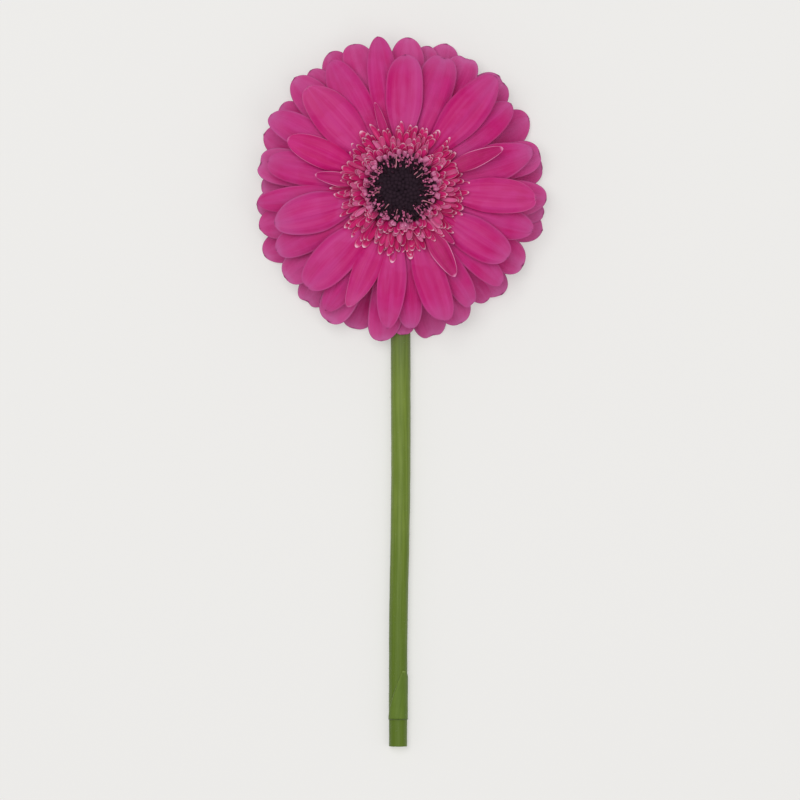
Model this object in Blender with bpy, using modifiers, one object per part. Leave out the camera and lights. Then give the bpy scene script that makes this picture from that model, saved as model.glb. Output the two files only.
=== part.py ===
"""A cut gerbera lying on a table, face up, modelled piece by piece.

The stem lies along Y on the table, turns up at the neck and carries the head, whose face
looks along +Z. The origin is on the table under the middle of the flower. Sizes are named
in millimetres and turned into metres by MM.

The head is built round its own axis, which the empty head_axis marks: every floret, the
receptacle and the bracts below it are its children.
"""

import math
from dataclasses import dataclass

import bmesh
import bpy
from mathutils import Matrix, Vector
from mathutils.geometry import interpolate_bezier

MM = 0.001
GAP = 0.3  # the clearance that touching pieces keep

# Where the head's axis stands, and how long the whole flower is.
HEAD_X, HEAD_Y = 0.0, 67.7
CUT_END_Y = -118.9

# The stem, which lies on the table and turns up into the neck.
STEM_RADIUS = 3.35
CUT_RADIUS = 3.15
STEM_DRIFT = -1.0  # how far the cut end lies to the side of the head's axis
NECK_BEND = 11.0
NECK_TOP = 14.7
NECK_COLLAR = 0.8  # the straight run under the receptacle
STEM_POINTS = 14
NECK_POINTS = 9
ROUND_HANDLE = 0.552  # the handle length, in radii, that bends a curve into a quarter circle

# The receptacle: the fleshy cushion that every floret is rooted in.
CUSHION_RADIUS = 13.5
CUSHION_BASE_RADIUS = 3.4
CUSHION_BASE = NECK_TOP + GAP
CUSHION_TOP = 25.2
ROUND_STEPS = 32

# The florets of the middle, which stand on the cushion.
FLOOR_OF_DISC = CUSHION_TOP + GAP
DISC_RADIUS = 10.2
DISC_TOP = 29.6

# A ray floret's blade, as shares of its length and width.
ROOT_REACH = CUSHION_RADIUS + GAP
ROOT_WIDTH = 3.0
BLADE = 0.45
TIP_STOP = 0.985  # the rounded tip ends blunt here
TIP_ROUNDNESS = 2.6  # 2 is an ellipse, and more is squarer
ROW_CROWDING = 1.2  # how much closer the rows stand towards the root and the tip
ACROSS, ALONG = 4, 6

PETAL_PINK = (0.485, 0.032, 0.180, 1.0)
STAR_PINK = (0.450, 0.050, 0.150, 1.0)
NEAR_BLACK = (0.018, 0.011, 0.016, 1.0)
STEM_GREEN = (0.155, 0.220, 0.045, 1.0)
PALE_GREEN = (0.260, 0.330, 0.100, 1.0)


@dataclass(frozen=True)
class Whorl:
    """One layer of ray florets. Heights are those of the upper face, and slopes rise over run.

    Each floret is its azimuth in degrees, how far its tip reaches from the axis, and its width.
    """

    name: str
    root_height: float
    root_slope: float
    tip_height: float
    tip_slope: float
    edge_drop: float
    belly: float
    florets: tuple
    tip_wave: float = 0.0


FRONT = Whorl(
    "front", 24.4, 0.22, 23.5, -0.35, 1.2, 0.60,
    (
        (88.0, 44.8, 12.3), (50.1, 49.1, 13.3), (356.2, 45.3, 11.7), (327.2, 42.6, 12.6),
        (288.1, 46.2, 10.7), (264.5, 46.5, 9.6), (246.9, 42.8, 9.0), (225.9, 45.5, 13.2),
        (195.3, 43.6, 13.6), (155.3, 41.4, 9.5), (132.9, 46.1, 13.9),
    ),
)
SECOND = Whorl(
    "second", 23.2, 0.08, 17.0, -0.50, 1.1, 0.62,
    (
        (118.3, 49.1, 11.8), (99.4, 51.8, 10.1), (72.1, 47.4, 12.7), (37.3, 46.7, 11.3),
        (15.4, 45.9, 12.6), (342.4, 46.0, 11.4), (317.3, 46.2, 8.3), (302.2, 45.8, 8.3),
        (273.5, 46.7, 9.0), (238.8, 47.5, 10.0), (206.6, 46.6, 10.7), (185.6, 48.1, 8.7),
        (168.1, 45.8, 10.7), (149.7, 50.6, 10.5),
    ),
)
THIRD = Whorl(
    "third", 22.0, -0.08, 8.6, -0.60, 0.9, 0.68,
    (
        (108.1, 51.9, 10.7), (87.5, 51.3, 11.3), (63.3, 50.5, 11.5), (45.1, 50.1, 10.3),
        (15.3, 48.4, 11.3), (355.7, 48.9, 11.5), (329.1, 48.3, 11.7), (294.1, 49.1, 11.3),
        (263.2, 51.1, 10.9), (240.1, 50.5, 11.5), (216.9, 48.9, 11.1), (194.7, 49.1, 11.3),
        (168.3, 49.1, 11.7), (134.1, 51.9, 11.5),
    ),
    1.6,
)
BACK = Whorl(
    "back", 20.8, -0.25, 0.4, -0.35, 0.8, 0.70,
    (
        (117.9, 52.5, 11.2), (72.3, 51.9, 11.6), (50.6, 51.0, 11.4), (29.1, 49.5, 12.0),
        (9.9, 48.5, 10.8), (344.9, 49.4, 11.4), (313.6, 48.5, 12.0), (282.2, 50.8, 11.2),
        (251.4, 49.1, 11.2), (228.9, 49.9, 11.4), (205.2, 50.8, 11.2), (185.1, 48.7, 10.8),
        (157.9, 49.9, 11.4),
    ),
    2.2,
)
WAVES_ROUND = 5


@dataclass(frozen=True)
class Crown:
    """A ring of short florets or bracts that share one base and part into teeth at the rim.

    The section runs round the ring's cut face as (radius, height). The points whose radius is
    over the comb radius are drawn in between the teeth, by up to the notch depth, down the
    slope of the rim.
    """

    name: str
    section: tuple
    comb_radius: float
    notch: float
    rim_slope: float
    teeth: int


STAR_OUTER = Crown(
    "trans_florets_outer",
    ((12.1, 25.5), (13.2, 25.5), (15.2, 26.5), (21.6, 27.3), (21.6, 28.0), (14.6, 28.4), (12.9, 27.9)),
    15.5, 4.2, 0.1, 26,
)
STAR_INNER = Crown(
    "trans_florets_inner",
    ((10.6, 25.5), (11.8, 25.5), (12.6, 28.3), (16.8, 30.0), (16.8, 30.7), (12.2, 30.3), (10.8, 28.4)),
    13.0, 2.6, 0.08, 21,
)
BRACTS_INNER = Crown(
    "bracts_inner",
    ((4.2, 14.5), (8.2, 16.1), (12.2, 18.0), (16.6, 18.6), (16.6, 18.1), (12.8, 17.3), (8.6, 15.4), (4.2, 13.9)),
    13.5, 3.0, 0.1, 18,
)
BRACTS_OUTER = Crown(
    "bracts_outer",
    ((4.2, 13.5), (8.7, 14.9), (11.2, 16.0), (13.2, 16.7), (13.4, 16.3), (11.5, 15.4), (8.9, 14.2), (4.2, 12.9)),
    10.8, 2.4, 0.4, 13,
)
STEPS_PER_TOOTH = 3

# The sheathing bract near the cut end, as places along the stem and angles round it.
SHEATH_ROOT_Y = CUT_END_Y + 9.0
SHEATH_TIP_Y = CUT_END_Y + 25.9
SHEATH_TIP_ANGLE = 63.0
SHEATH_LEFT_ANGLE = 172.0
SHEATH_RIGHT_ANGLE = -32.0
SHEATH_STOP = 0.97  # its point ends blunt here
SHEATH_THICKNESS = 0.45
SHEATH_ACROSS, SHEATH_ALONG = 10, 8


def clear_scene() -> None:
    """Takes out whatever the scene held before."""
    for obj in list(bpy.data.objects):
        bpy.data.objects.remove(obj, do_unlink=True)


def new_material(name: str, colour: tuple, roughness: float) -> bpy.types.Material:
    """A plain surface of one colour."""
    material = bpy.data.materials.new(name)
    material.use_nodes = True
    surface = material.node_tree.nodes["Principled BSDF"]
    surface.inputs["Base Color"].default_value = colour
    surface.inputs["Roughness"].default_value = roughness
    surface.inputs["Metallic"].default_value = 0.0
    return material


def add_object(name, data, colour, roughness, collection) -> bpy.types.Object:
    """Puts a mesh or a curve in the flower's collection, with a material of its own."""
    obj = bpy.data.objects.new(name, data)
    obj.data.materials.append(new_material(name, colour, roughness))
    collection.objects.link(obj)
    return obj


def thicken(obj: bpy.types.Object, thickness: float, offset: float) -> None:
    """Gives an open sheet its thickness, to one side of it."""
    wall = obj.modifiers.new("thickness", "SOLIDIFY")
    wall.thickness = thickness * MM
    wall.offset = offset


def smooth(mesh: bpy.types.Mesh, sharp_above: float = 40.0) -> None:
    """Shades a mesh smooth, but for its sharp edges."""
    mesh.shade_smooth()
    mesh.set_sharp_from_angle(angle=math.radians(sharp_above))


def hermite(share: float, start: float, start_slope: float, end: float, end_slope: float) -> float:
    """The cubic between two heights, with slopes given over the whole span."""
    square, cube = share**2, share**3
    return (
        (2 * cube - 3 * square + 1) * start
        + (cube - 2 * square + share) * start_slope
        + (3 * square - 2 * cube) * end
        + (cube - square) * end_slope
    )


def blade_outline(share: float, root_share: float, belly: float) -> float:
    """A ray floret's width at a share of its length, as a share of its full width."""
    if share < belly:
        return root_share + (1 - root_share) * math.sin(math.pi / 2 * share / belly) ** 2
    past = (share - belly) / (1 - belly)
    return math.sqrt(1 - past**TIP_ROUNDNESS)


def ray_floret(whorl: Whorl, index: int, head: bpy.types.Object, collection) -> None:
    """One strap-shaped floret, from its root on the cushion's side to its rounded tip."""
    azimuth, reach, width = whorl.florets[index]
    length = reach - ROOT_REACH
    wave = (1 + math.sin(WAVES_ROUND * math.radians(azimuth))) / 2
    tip_height = whorl.tip_height + whorl.tip_wave * wave
    name = f"ray_floret_{whorl.name}_{index + 1:02d}"
    blade = bmesh.new()
    bmesh.ops.create_grid(blade, x_segments=ACROSS, y_segments=ALONG, size=1.0)
    for vertex in blade.verts:
        across = vertex.co.x
        along = (vertex.co.y + 1) / 2
        share = TIP_STOP * math.sin(math.pi / 2 * along) ** ROW_CROWDING
        side = across * width / 2 * blade_outline(share, ROOT_WIDTH / width, whorl.belly)
        height = hermite(
            share, whorl.root_height, whorl.root_slope * length, tip_height, whorl.tip_slope * length
        )
        drop = whorl.edge_drop * (side / (width / 2)) ** 2
        vertex.co = Vector((side, ROOT_REACH + share * length, height - drop)) * MM
    mesh = bpy.data.meshes.new(name)
    blade.to_mesh(mesh)
    blade.free()
    smooth(mesh)
    floret = add_object(name, mesh, PETAL_PINK, 0.55, collection)
    floret.parent = head
    floret.rotation_euler.z = math.radians(azimuth - 90)
    thicken(floret, BLADE, -1.0)


def turned(name, profile, steps, colour, roughness, head, collection) -> None:
    """A solid of revolution. The profile runs down its outer side, from the axis to the axis."""
    mesh = bpy.data.meshes.new(name)
    points = [Vector((radius, 0, height)) * MM for radius, height in profile]
    mesh.from_pydata(points, [(i, i + 1) for i in range(len(points) - 1)], [])
    obj = add_object(name, mesh, colour, roughness, collection)
    screw = obj.modifiers.new("turn", "SCREW")
    screw.steps = screw.render_steps = steps
    screw.use_merge_vertices = True
    screw.merge_threshold = 0.00001
    screw.use_smooth_shade = True
    obj.parent = head


def crown(ring: Crown, colour, roughness, head, collection) -> None:
    """A turned ring whose rim is combed into teeth."""
    steps = ring.teeth * STEPS_PER_TOOTH
    shape = bmesh.new()
    points = [shape.verts.new(Vector((radius, 0, height)) * MM) for radius, height in ring.section]
    edges = [shape.edges.new((a, b)) for a, b in zip(points, points[1:] + points[:1])]
    bmesh.ops.spin(
        shape, geom=points + edges, axis=(0, 0, 1), cent=(0, 0, 0),
        angle=2 * math.pi, steps=steps, use_merge=True,
    )
    farthest = max(radius for radius, _ in ring.section)
    for vertex in shape.verts:
        radius = math.hypot(vertex.co.x, vertex.co.y) / MM
        if radius <= ring.comb_radius:
            continue
        between = (1 - math.cos(ring.teeth * math.atan2(vertex.co.y, vertex.co.x))) / 2
        share = (radius - ring.comb_radius) / (farthest - ring.comb_radius)
        drawn_in = ring.notch * share * between
        vertex.co.x *= 1 - drawn_in / radius
        vertex.co.y *= 1 - drawn_in / radius
        vertex.co.z -= drawn_in * ring.rim_slope * MM
    bmesh.ops.remove_doubles(shape, verts=shape.verts, dist=0.00001)
    bmesh.ops.recalc_face_normals(shape, faces=shape.faces)
    mesh = bpy.data.meshes.new(ring.name)
    shape.to_mesh(mesh)
    shape.free()
    smooth(mesh)
    obj = add_object(ring.name, mesh, colour, roughness, collection)
    obj.parent = head


def stem_centre(along: float) -> tuple:
    """The stem's side shift and radius at a share of its lying length, from the cut end."""
    swing = math.sin(math.pi / 2 * along) ** 2
    side = HEAD_X + STEM_DRIFT * (1 - swing)
    return side, CUT_RADIUS + (STEM_RADIUS - CUT_RADIUS) * along


def stem(collection) -> None:
    """The stem: a tapering tube that lies on the table and turns up a quarter circle at the neck."""
    bend_start = HEAD_Y - NECK_BEND
    path = []
    for i in range(STEM_POINTS):
        along = i / STEM_POINTS
        side, radius = stem_centre(along)
        path.append((side, CUT_END_Y + along * (bend_start - CUT_END_Y), radius, radius))
    handle = NECK_BEND * ROUND_HANDLE
    start = Vector((bend_start, STEM_RADIUS))
    end = Vector((HEAD_Y, NECK_TOP - NECK_COLLAR))
    bend = interpolate_bezier(
        start, start + Vector((handle, 0)), end - Vector((0, handle)), end, NECK_POINTS
    )
    path += [(HEAD_X, y, z, STEM_RADIUS) for y, z in bend]
    path.append((HEAD_X, HEAD_Y, NECK_TOP, STEM_RADIUS))
    curve = bpy.data.curves.new("stem", "CURVE")
    curve.dimensions = "3D"
    curve.bevel_depth = MM
    curve.bevel_resolution = 4
    curve.use_fill_caps = True
    line = curve.splines.new("POLY")
    line.points.add(len(path) - 1)
    for point, (x, y, z, radius) in zip(line.points, path):
        point.co = (x * MM, y * MM, z * MM, 1.0)
        point.radius = radius
    add_object("stem", curve, STEM_GREEN, 0.6, collection)


def sheath(collection) -> None:
    """The scale-like bract that wraps the stem near its cut end and runs out to a point."""
    scale = bmesh.new()
    bmesh.ops.create_grid(scale, x_segments=SHEATH_ACROSS, y_segments=SHEATH_ALONG, size=1.0)
    lying_length = HEAD_Y - NECK_BEND - CUT_END_Y
    for vertex in scale.verts:
        across = (vertex.co.x + 1) / 2
        share = SHEATH_STOP * (vertex.co.y + 1) / 2
        y = SHEATH_ROOT_Y + share * (SHEATH_TIP_Y - SHEATH_ROOT_Y)
        side, radius = stem_centre((y - CUT_END_Y) / lying_length)
        left = SHEATH_TIP_ANGLE + (SHEATH_LEFT_ANGLE - SHEATH_TIP_ANGLE) * (1 - share**1.1)
        right = SHEATH_TIP_ANGLE + (SHEATH_RIGHT_ANGLE - SHEATH_TIP_ANGLE) * math.sqrt(1 - share**3)
        angle = math.radians(left + across * (right - left))
        out = radius + GAP
        vertex.co = Vector((side + out * math.cos(angle), y, radius + out * math.sin(angle))) * MM
    bmesh.ops.recalc_face_normals(scale, faces=scale.faces)
    mesh = bpy.data.meshes.new("stem_bract")
    scale.to_mesh(mesh)
    scale.free()
    smooth(mesh)
    obj = add_object("stem_bract", mesh, PALE_GREEN, 0.6, collection)
    thicken(obj, SHEATH_THICKNESS, 1.0)


def receptacle(head, collection) -> None:
    """The cushion that joins the neck, the bracts and every floret."""
    profile = (
        (0.0, CUSHION_TOP),
        (CUSHION_RADIUS - 0.9, CUSHION_TOP),
        (CUSHION_RADIUS, CUSHION_TOP - 0.7),
        (CUSHION_RADIUS, 19.6),
        (11.8, 18.3),
        (8.0, 16.5),
        (CUSHION_BASE_RADIUS, CUSHION_BASE),
        (0.0, CUSHION_BASE),
    )
    turned("receptacle", profile, ROUND_STEPS, PALE_GREEN, 0.6, head, collection)


def disc_florets(head, collection) -> None:
    """The dark, still closed florets of the middle, as one low dome."""
    shoulder = FLOOR_OF_DISC + 2.4
    rise = DISC_TOP - shoulder
    dome = [
        (DISC_RADIUS * math.sin(math.radians(angle)), shoulder + rise * math.cos(math.radians(angle)))
        for angle in (0, 30, 55, 75, 90)
    ]
    profile = dome + [(DISC_RADIUS - 0.4, FLOOR_OF_DISC), (0.0, FLOOR_OF_DISC)]
    turned("disc_florets", profile, ROUND_STEPS, NEAR_BLACK, 0.7, head, collection)


def build() -> None:
    """Builds every piece of the flower."""
    clear_scene()
    collection = bpy.data.collections.new("cut_gerbera")
    bpy.context.scene.collection.children.link(collection)
    head = bpy.data.objects.new("head_axis", None)
    head.matrix_world = Matrix.Translation(Vector((HEAD_X, HEAD_Y, 0)) * MM)
    collection.objects.link(head)
    stem(collection)
    sheath(collection)
    receptacle(head, collection)
    crown(BRACTS_OUTER, STEM_GREEN, 0.6, head, collection)
    crown(BRACTS_INNER, STEM_GREEN, 0.6, head, collection)
    for whorl in (BACK, THIRD, SECOND, FRONT):
        for index in range(len(whorl.florets)):
            ray_floret(whorl, index, head, collection)
    crown(STAR_OUTER, STAR_PINK, 0.5, head, collection)
    crown(STAR_INNER, STAR_PINK, 0.5, head, collection)
    disc_florets(head, collection)


build()
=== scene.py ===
"""The looks of a cut gerbera that lies face up on its own stem.

The head is a daisy's: four whorls of strap-shaped ray florets, a frill of short trans florets
with pale lips, and a near-black disc of closed buds and stamens, over a cup of green bracts. The
stem is ribbed and downy, is cut square and carries one sheathing bract. Sizes are in millimetres
and turned into metres by MM, and every place is read from the frame.
"""

from __future__ import annotations

import logging
import math
from dataclasses import dataclass, field, replace
from enum import Enum

import bpy
import numpy as np
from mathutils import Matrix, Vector


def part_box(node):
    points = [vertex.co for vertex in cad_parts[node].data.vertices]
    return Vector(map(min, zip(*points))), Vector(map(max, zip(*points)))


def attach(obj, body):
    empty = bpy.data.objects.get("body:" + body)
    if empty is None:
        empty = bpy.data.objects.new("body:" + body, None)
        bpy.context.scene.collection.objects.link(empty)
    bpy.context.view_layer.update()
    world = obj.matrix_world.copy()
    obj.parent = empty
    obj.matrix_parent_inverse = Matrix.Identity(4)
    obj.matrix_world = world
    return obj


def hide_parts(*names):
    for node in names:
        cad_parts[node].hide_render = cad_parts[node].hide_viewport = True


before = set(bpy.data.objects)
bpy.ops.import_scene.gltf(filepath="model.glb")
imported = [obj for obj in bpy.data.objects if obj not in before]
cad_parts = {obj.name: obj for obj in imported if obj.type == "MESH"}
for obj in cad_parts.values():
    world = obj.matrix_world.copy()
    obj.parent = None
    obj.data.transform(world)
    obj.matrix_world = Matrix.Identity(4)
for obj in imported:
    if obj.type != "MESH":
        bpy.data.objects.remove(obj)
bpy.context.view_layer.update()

LOG = logging.getLogger("gerbera")
MM = 0.001
BODY = "root"
GOLDEN_TURN = math.pi * (3 - math.sqrt(5))

Colour = tuple[float, float, float, float]


def linear(red: int, green: int, blue: int) -> Colour:
    """A colour given in 0 to 255 steps, as the linear values that shaders use."""
    shares = [step / 255 for step in (red, green, blue)]
    return (*(s / 12.92 if s <= 0.04045 else ((s + 0.055) / 1.055) ** 2.4 for s in shares), 1.0)


# --- node trees as plain sums ------------------------------------------------------------------


class TreeKind(Enum):
    """The two kinds of node group that the flower is made with."""

    GEOMETRY = "GeometryNodeTree"
    SHADER = "ShaderNodeTree"


class Socket(Enum):
    """What a group's socket carries."""

    NUMBER = "NodeSocketFloat"
    COUNT = "NodeSocketInt"
    VECTOR = "NodeSocketVector"
    MATERIAL = "NodeSocketMaterial"
    GEOMETRY = "NodeSocketGeometry"


class Wire:
    """A value that runs through a node tree. Sums on it add the nodes that work them out."""

    def __init__(self, graph: Graph, socket: bpy.types.NodeSocket) -> None:
        """Keeps the tree and the socket that the value comes from."""
        self.graph = graph
        self.socket = socket

    def __add__(self, other: Wire | float) -> Wire:
        """The sum of two values."""
        return self.graph.math("ADD", self, other)

    def __sub__(self, other: Wire | float) -> Wire:
        """This value less another."""
        return self.graph.math("SUBTRACT", self, other)

    def __rsub__(self, other: float) -> Wire:
        """A number less this value."""
        return self.graph.math("SUBTRACT", other, self)

    def __mul__(self, other: Wire | float) -> Wire:
        """The product of two values."""
        return self.graph.math("MULTIPLY", self, other)

    def __truediv__(self, other: Wire | float) -> Wire:
        """This value over another."""
        return self.graph.math("DIVIDE", self, other)

    def __pow__(self, other: Wire | float) -> Wire:
        """This value to a power."""
        return self.graph.math("POWER", self, other)

    __radd__ = __add__
    __rmul__ = __mul__


class Graph:
    """A node tree under construction."""

    def __init__(self, tree: bpy.types.NodeTree) -> None:
        """Keeps the tree that the nodes go in."""
        self.tree = tree
        self.entry = None

    @classmethod
    def group(cls, name: str, kind: TreeKind) -> Graph:
        """Starts a node group.

        Args:
            name: the group's name.
            kind: whether it makes geometry or shading.

        Returns:
            The group, with its input node in place.
        """
        graph = cls(bpy.data.node_groups.new(name, kind.value))
        graph.entry = graph.tree.nodes.new("NodeGroupInput")
        return graph

    def given(self, name: str, kind: Socket = Socket.NUMBER, default: object = None) -> Wire:
        """Adds a named input to the group.

        Args:
            name: the input's name.
            kind: what it carries.
            default: its value where none is set.

        Returns:
            The input's value.
        """
        socket = self.tree.interface.new_socket(name, in_out="INPUT", socket_type=kind.value)
        if default is not None:
            socket.default_value = default
        return Wire(self, self.entry.outputs[name])

    def numbers(self, **defaults: float) -> list[Wire]:
        """Adds number inputs, named in small letters with _ for spaces, with their defaults."""
        titles = {name.replace("_", " ").title(): value for name, value in defaults.items()}
        return [self.given(title, default=value) for title, value in titles.items()]

    def given_as(self, group: bpy.types.NodeTree) -> dict[str, Wire]:
        """Gives this group the number inputs of another, to be passed on to it."""
        inputs = [item for item in group.interface.items_tree if item.in_out == "INPUT"]
        return {
            item.name: self.given(item.name, Socket(item.socket_type), item.default_value)
            for item in inputs
            if item.socket_type != Socket.GEOMETRY.value
        }

    def result(self, values: dict[str, Wire], kind: Socket) -> None:
        """Adds named outputs, all of one kind, to the group.

        Args:
            values: the outputs by name.
            kind: what they carry.
        """
        leave = self.tree.nodes.new("NodeGroupOutput")
        for name, value in values.items():
            self.tree.interface.new_socket(name, in_out="OUTPUT", socket_type=kind.value)
            self.tree.links.new(value.socket, leave.inputs[name])

    def node(
        self, kind: str, inputs: dict | None = None, output: str | int = 0, **settings: object
    ) -> Wire:
        """Adds a node.

        Args:
            kind: the node's type in Blender.
            inputs: its inputs by name or number, as values or wires.
            output: the name or number of the output that is wanted.
            **settings: the node's own properties.

        Returns:
            The wanted output.
        """
        node = self.tree.nodes.new(kind)
        for name, value in settings.items():
            setattr(node, name, value)
        for key, value in (inputs or {}).items():
            socket = self.pick(node.inputs, key)
            for item in value if isinstance(value, list) else [value]:
                if isinstance(item, Wire):
                    self.tree.links.new(item.socket, socket)
                else:
                    socket.default_value = item
        return Wire(self, self.pick(node.outputs, output))

    @staticmethod
    def pick(sockets: bpy.types.bpy_prop_collection, key: str | int) -> bpy.types.NodeSocket:
        """The socket with a number, or the first one in use that has a name."""
        if isinstance(key, int):
            return sockets[key]
        return next(s for s in sockets if s.name == key and s.enabled)

    def also(self, wire: Wire, output: str | int) -> Wire:
        """Another output of the node that a wire comes from."""
        return Wire(self, self.pick(wire.socket.node.outputs, output))

    def math(self, operation: str, *values: Wire | float) -> Wire:
        """A sum on numbers, by Blender's name for it."""
        return self.node("ShaderNodeMath", dict(enumerate(values)), operation=operation)

    def vector(self, x: Wire | float = 0.0, y: Wire | float = 0.0, z: Wire | float = 0.0) -> Wire:
        """Three numbers as one vector."""
        return self.node("ShaderNodeCombineXYZ", {0: x, 1: y, 2: z})

    def split(self, vector: Wire) -> tuple[Wire, Wire, Wire]:
        """A vector's three numbers."""
        first = self.node("ShaderNodeSeparateXYZ", {0: vector})
        return first, self.also(first, 1), self.also(first, 2)

    def sum_of(self, operation: str, *vectors: Wire | tuple) -> Wire:
        """A sum on vectors, by Blender's name for it."""
        return self.node("ShaderNodeVectorMath", dict(enumerate(vectors)), operation=operation)

    def step(
        self, value: Wire, start: float, end: Wire | float, low: float = 0.0, high: float = 1.0
    ) -> Wire:
        """Goes smoothly from low to high while the value goes from start to end."""
        inputs = {"Value": value, "From Min": start, "From Max": end, "To Min": low, "To Max": high}
        return self.node("ShaderNodeMapRange", inputs, interpolation_type="SMOOTHSTEP")

    def noise(self, place: Wire, scale: Wire | float, detail: float = 2.0) -> Wire:
        """Soft noise, from 0 to 1."""
        inputs = {"Vector": place, "Scale": scale, "Detail": detail}
        return self.node("ShaderNodeTexNoise", inputs)

    def blend(self, share: Wire | float, first: Wire | tuple, second: Wire | tuple) -> Wire:
        """Two colours mixed."""
        inputs = {"Factor": share, "A": first, "B": second}
        return self.node("ShaderNodeMix", inputs, "Result", data_type="RGBA")

    def use(self, group: bpy.types.NodeTree, inputs: dict, output: str | int = 0) -> Wire:
        """Places a group in this tree."""
        kind = "GeometryNodeGroup" if group.bl_idname == TreeKind.GEOMETRY.value else "ShaderNodeGroup"
        return self.node(kind, inputs, output, node_tree=group)

    def random(self, low: float, high: float, seed: Wire | int) -> Wire:
        """A number of its own for each element."""
        return self.node("FunctionNodeRandomValue", {"Min": low, "Max": high, "Seed": seed}, "Value")

    def keep(self, geometry: Wire, value: Wire) -> tuple[Wire, Wire]:
        """Fixes a vector on a geometry before its points move.

        Args:
            geometry: what the vector is fixed on.
            value: the vector.

        Returns:
            The geometry, and the vector as it was.
        """
        node = self.tree.nodes.new("GeometryNodeCaptureAttribute")
        node.capture_items.new("VECTOR", "kept")
        self.tree.links.new(geometry.socket, node.inputs["Geometry"])
        self.tree.links.new(value.socket, node.inputs["kept"])
        return Wire(self, node.outputs["Geometry"]), Wire(self, node.outputs["kept"])

    def store(
        self, geometry: Wire, name: str, value: Wire | float, domain: str, kind: str = "FLOAT"
    ) -> Wire:
        """Writes a named attribute that the materials read."""
        inputs = {"Geometry": geometry, "Name": name, "Value": value}
        return self.node("GeometryNodeStoreNamedAttribute", inputs, domain=domain, data_type=kind)

    def pushed(self, geometry: Wire, amount: Wire) -> Wire:
        """Moves a surface along its normals."""
        push = self.sum_of("SCALE", self.node("GeometryNodeInputNormal"), (0, 0, 0))
        self.tree.links.new(amount.socket, push.socket.node.inputs["Scale"])
        return self.node("GeometryNodeSetPosition", {"Geometry": geometry, "Offset": push})

    def finish(self, geometry: Wire, material: Wire) -> bpy.types.NodeTree:
        """Ends a group with plain geometry in its material."""
        real = self.node("GeometryNodeRealizeInstances", {"Geometry": geometry})
        dressed = self.node("GeometryNodeSetMaterial", {"Geometry": real, "Material": material})
        self.result({"Geometry": dressed}, Socket.GEOMETRY)
        return self.tree


# --- geometry groups -----------------------------------------------------------------------------

TIP_CROWDING = 1.15  # how much closer together a blade's rows of faces lie towards its tip
TIP_ZONE = 0.72  # the share of a blade's length at which its tip starts
NOTCH_SHARPNESS = 45.0  # how narrow the notch in a tip is
WELD = 0.0005 * MM  # how near points are joined into one
SHELL_WELD = 0.0001 * MM


def shell_group() -> bpy.types.NodeTree:
    """Makes a closed shell from one sheet: its own copy lies under it and they meet at the edges."""
    g = Graph.group("closed_shell", TreeKind.GEOMETRY)
    sheet = g.given("Geometry", Socket.GEOMETRY)
    thickness = g.given("Thickness", default=0.3 * MM)
    lower = g.node("GeometryNodeFlipFaces", {"Mesh": g.pushed(sheet, thickness * -1.0)})
    lower = g.store(lower, "underside", 1.0, "FACE")
    upper = g.store(sheet, "underside", 0.0, "FACE")
    both = g.node("GeometryNodeJoinGeometry", {"Geometry": [upper, lower]})
    closed = g.node("GeometryNodeMergeByDistance", {"Geometry": both, "Distance": SHELL_WELD})
    g.result({"Geometry": g.node("GeometryNodeSetShadeSmooth", {"Geometry": closed})}, Socket.GEOMETRY)
    return g.tree


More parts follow.
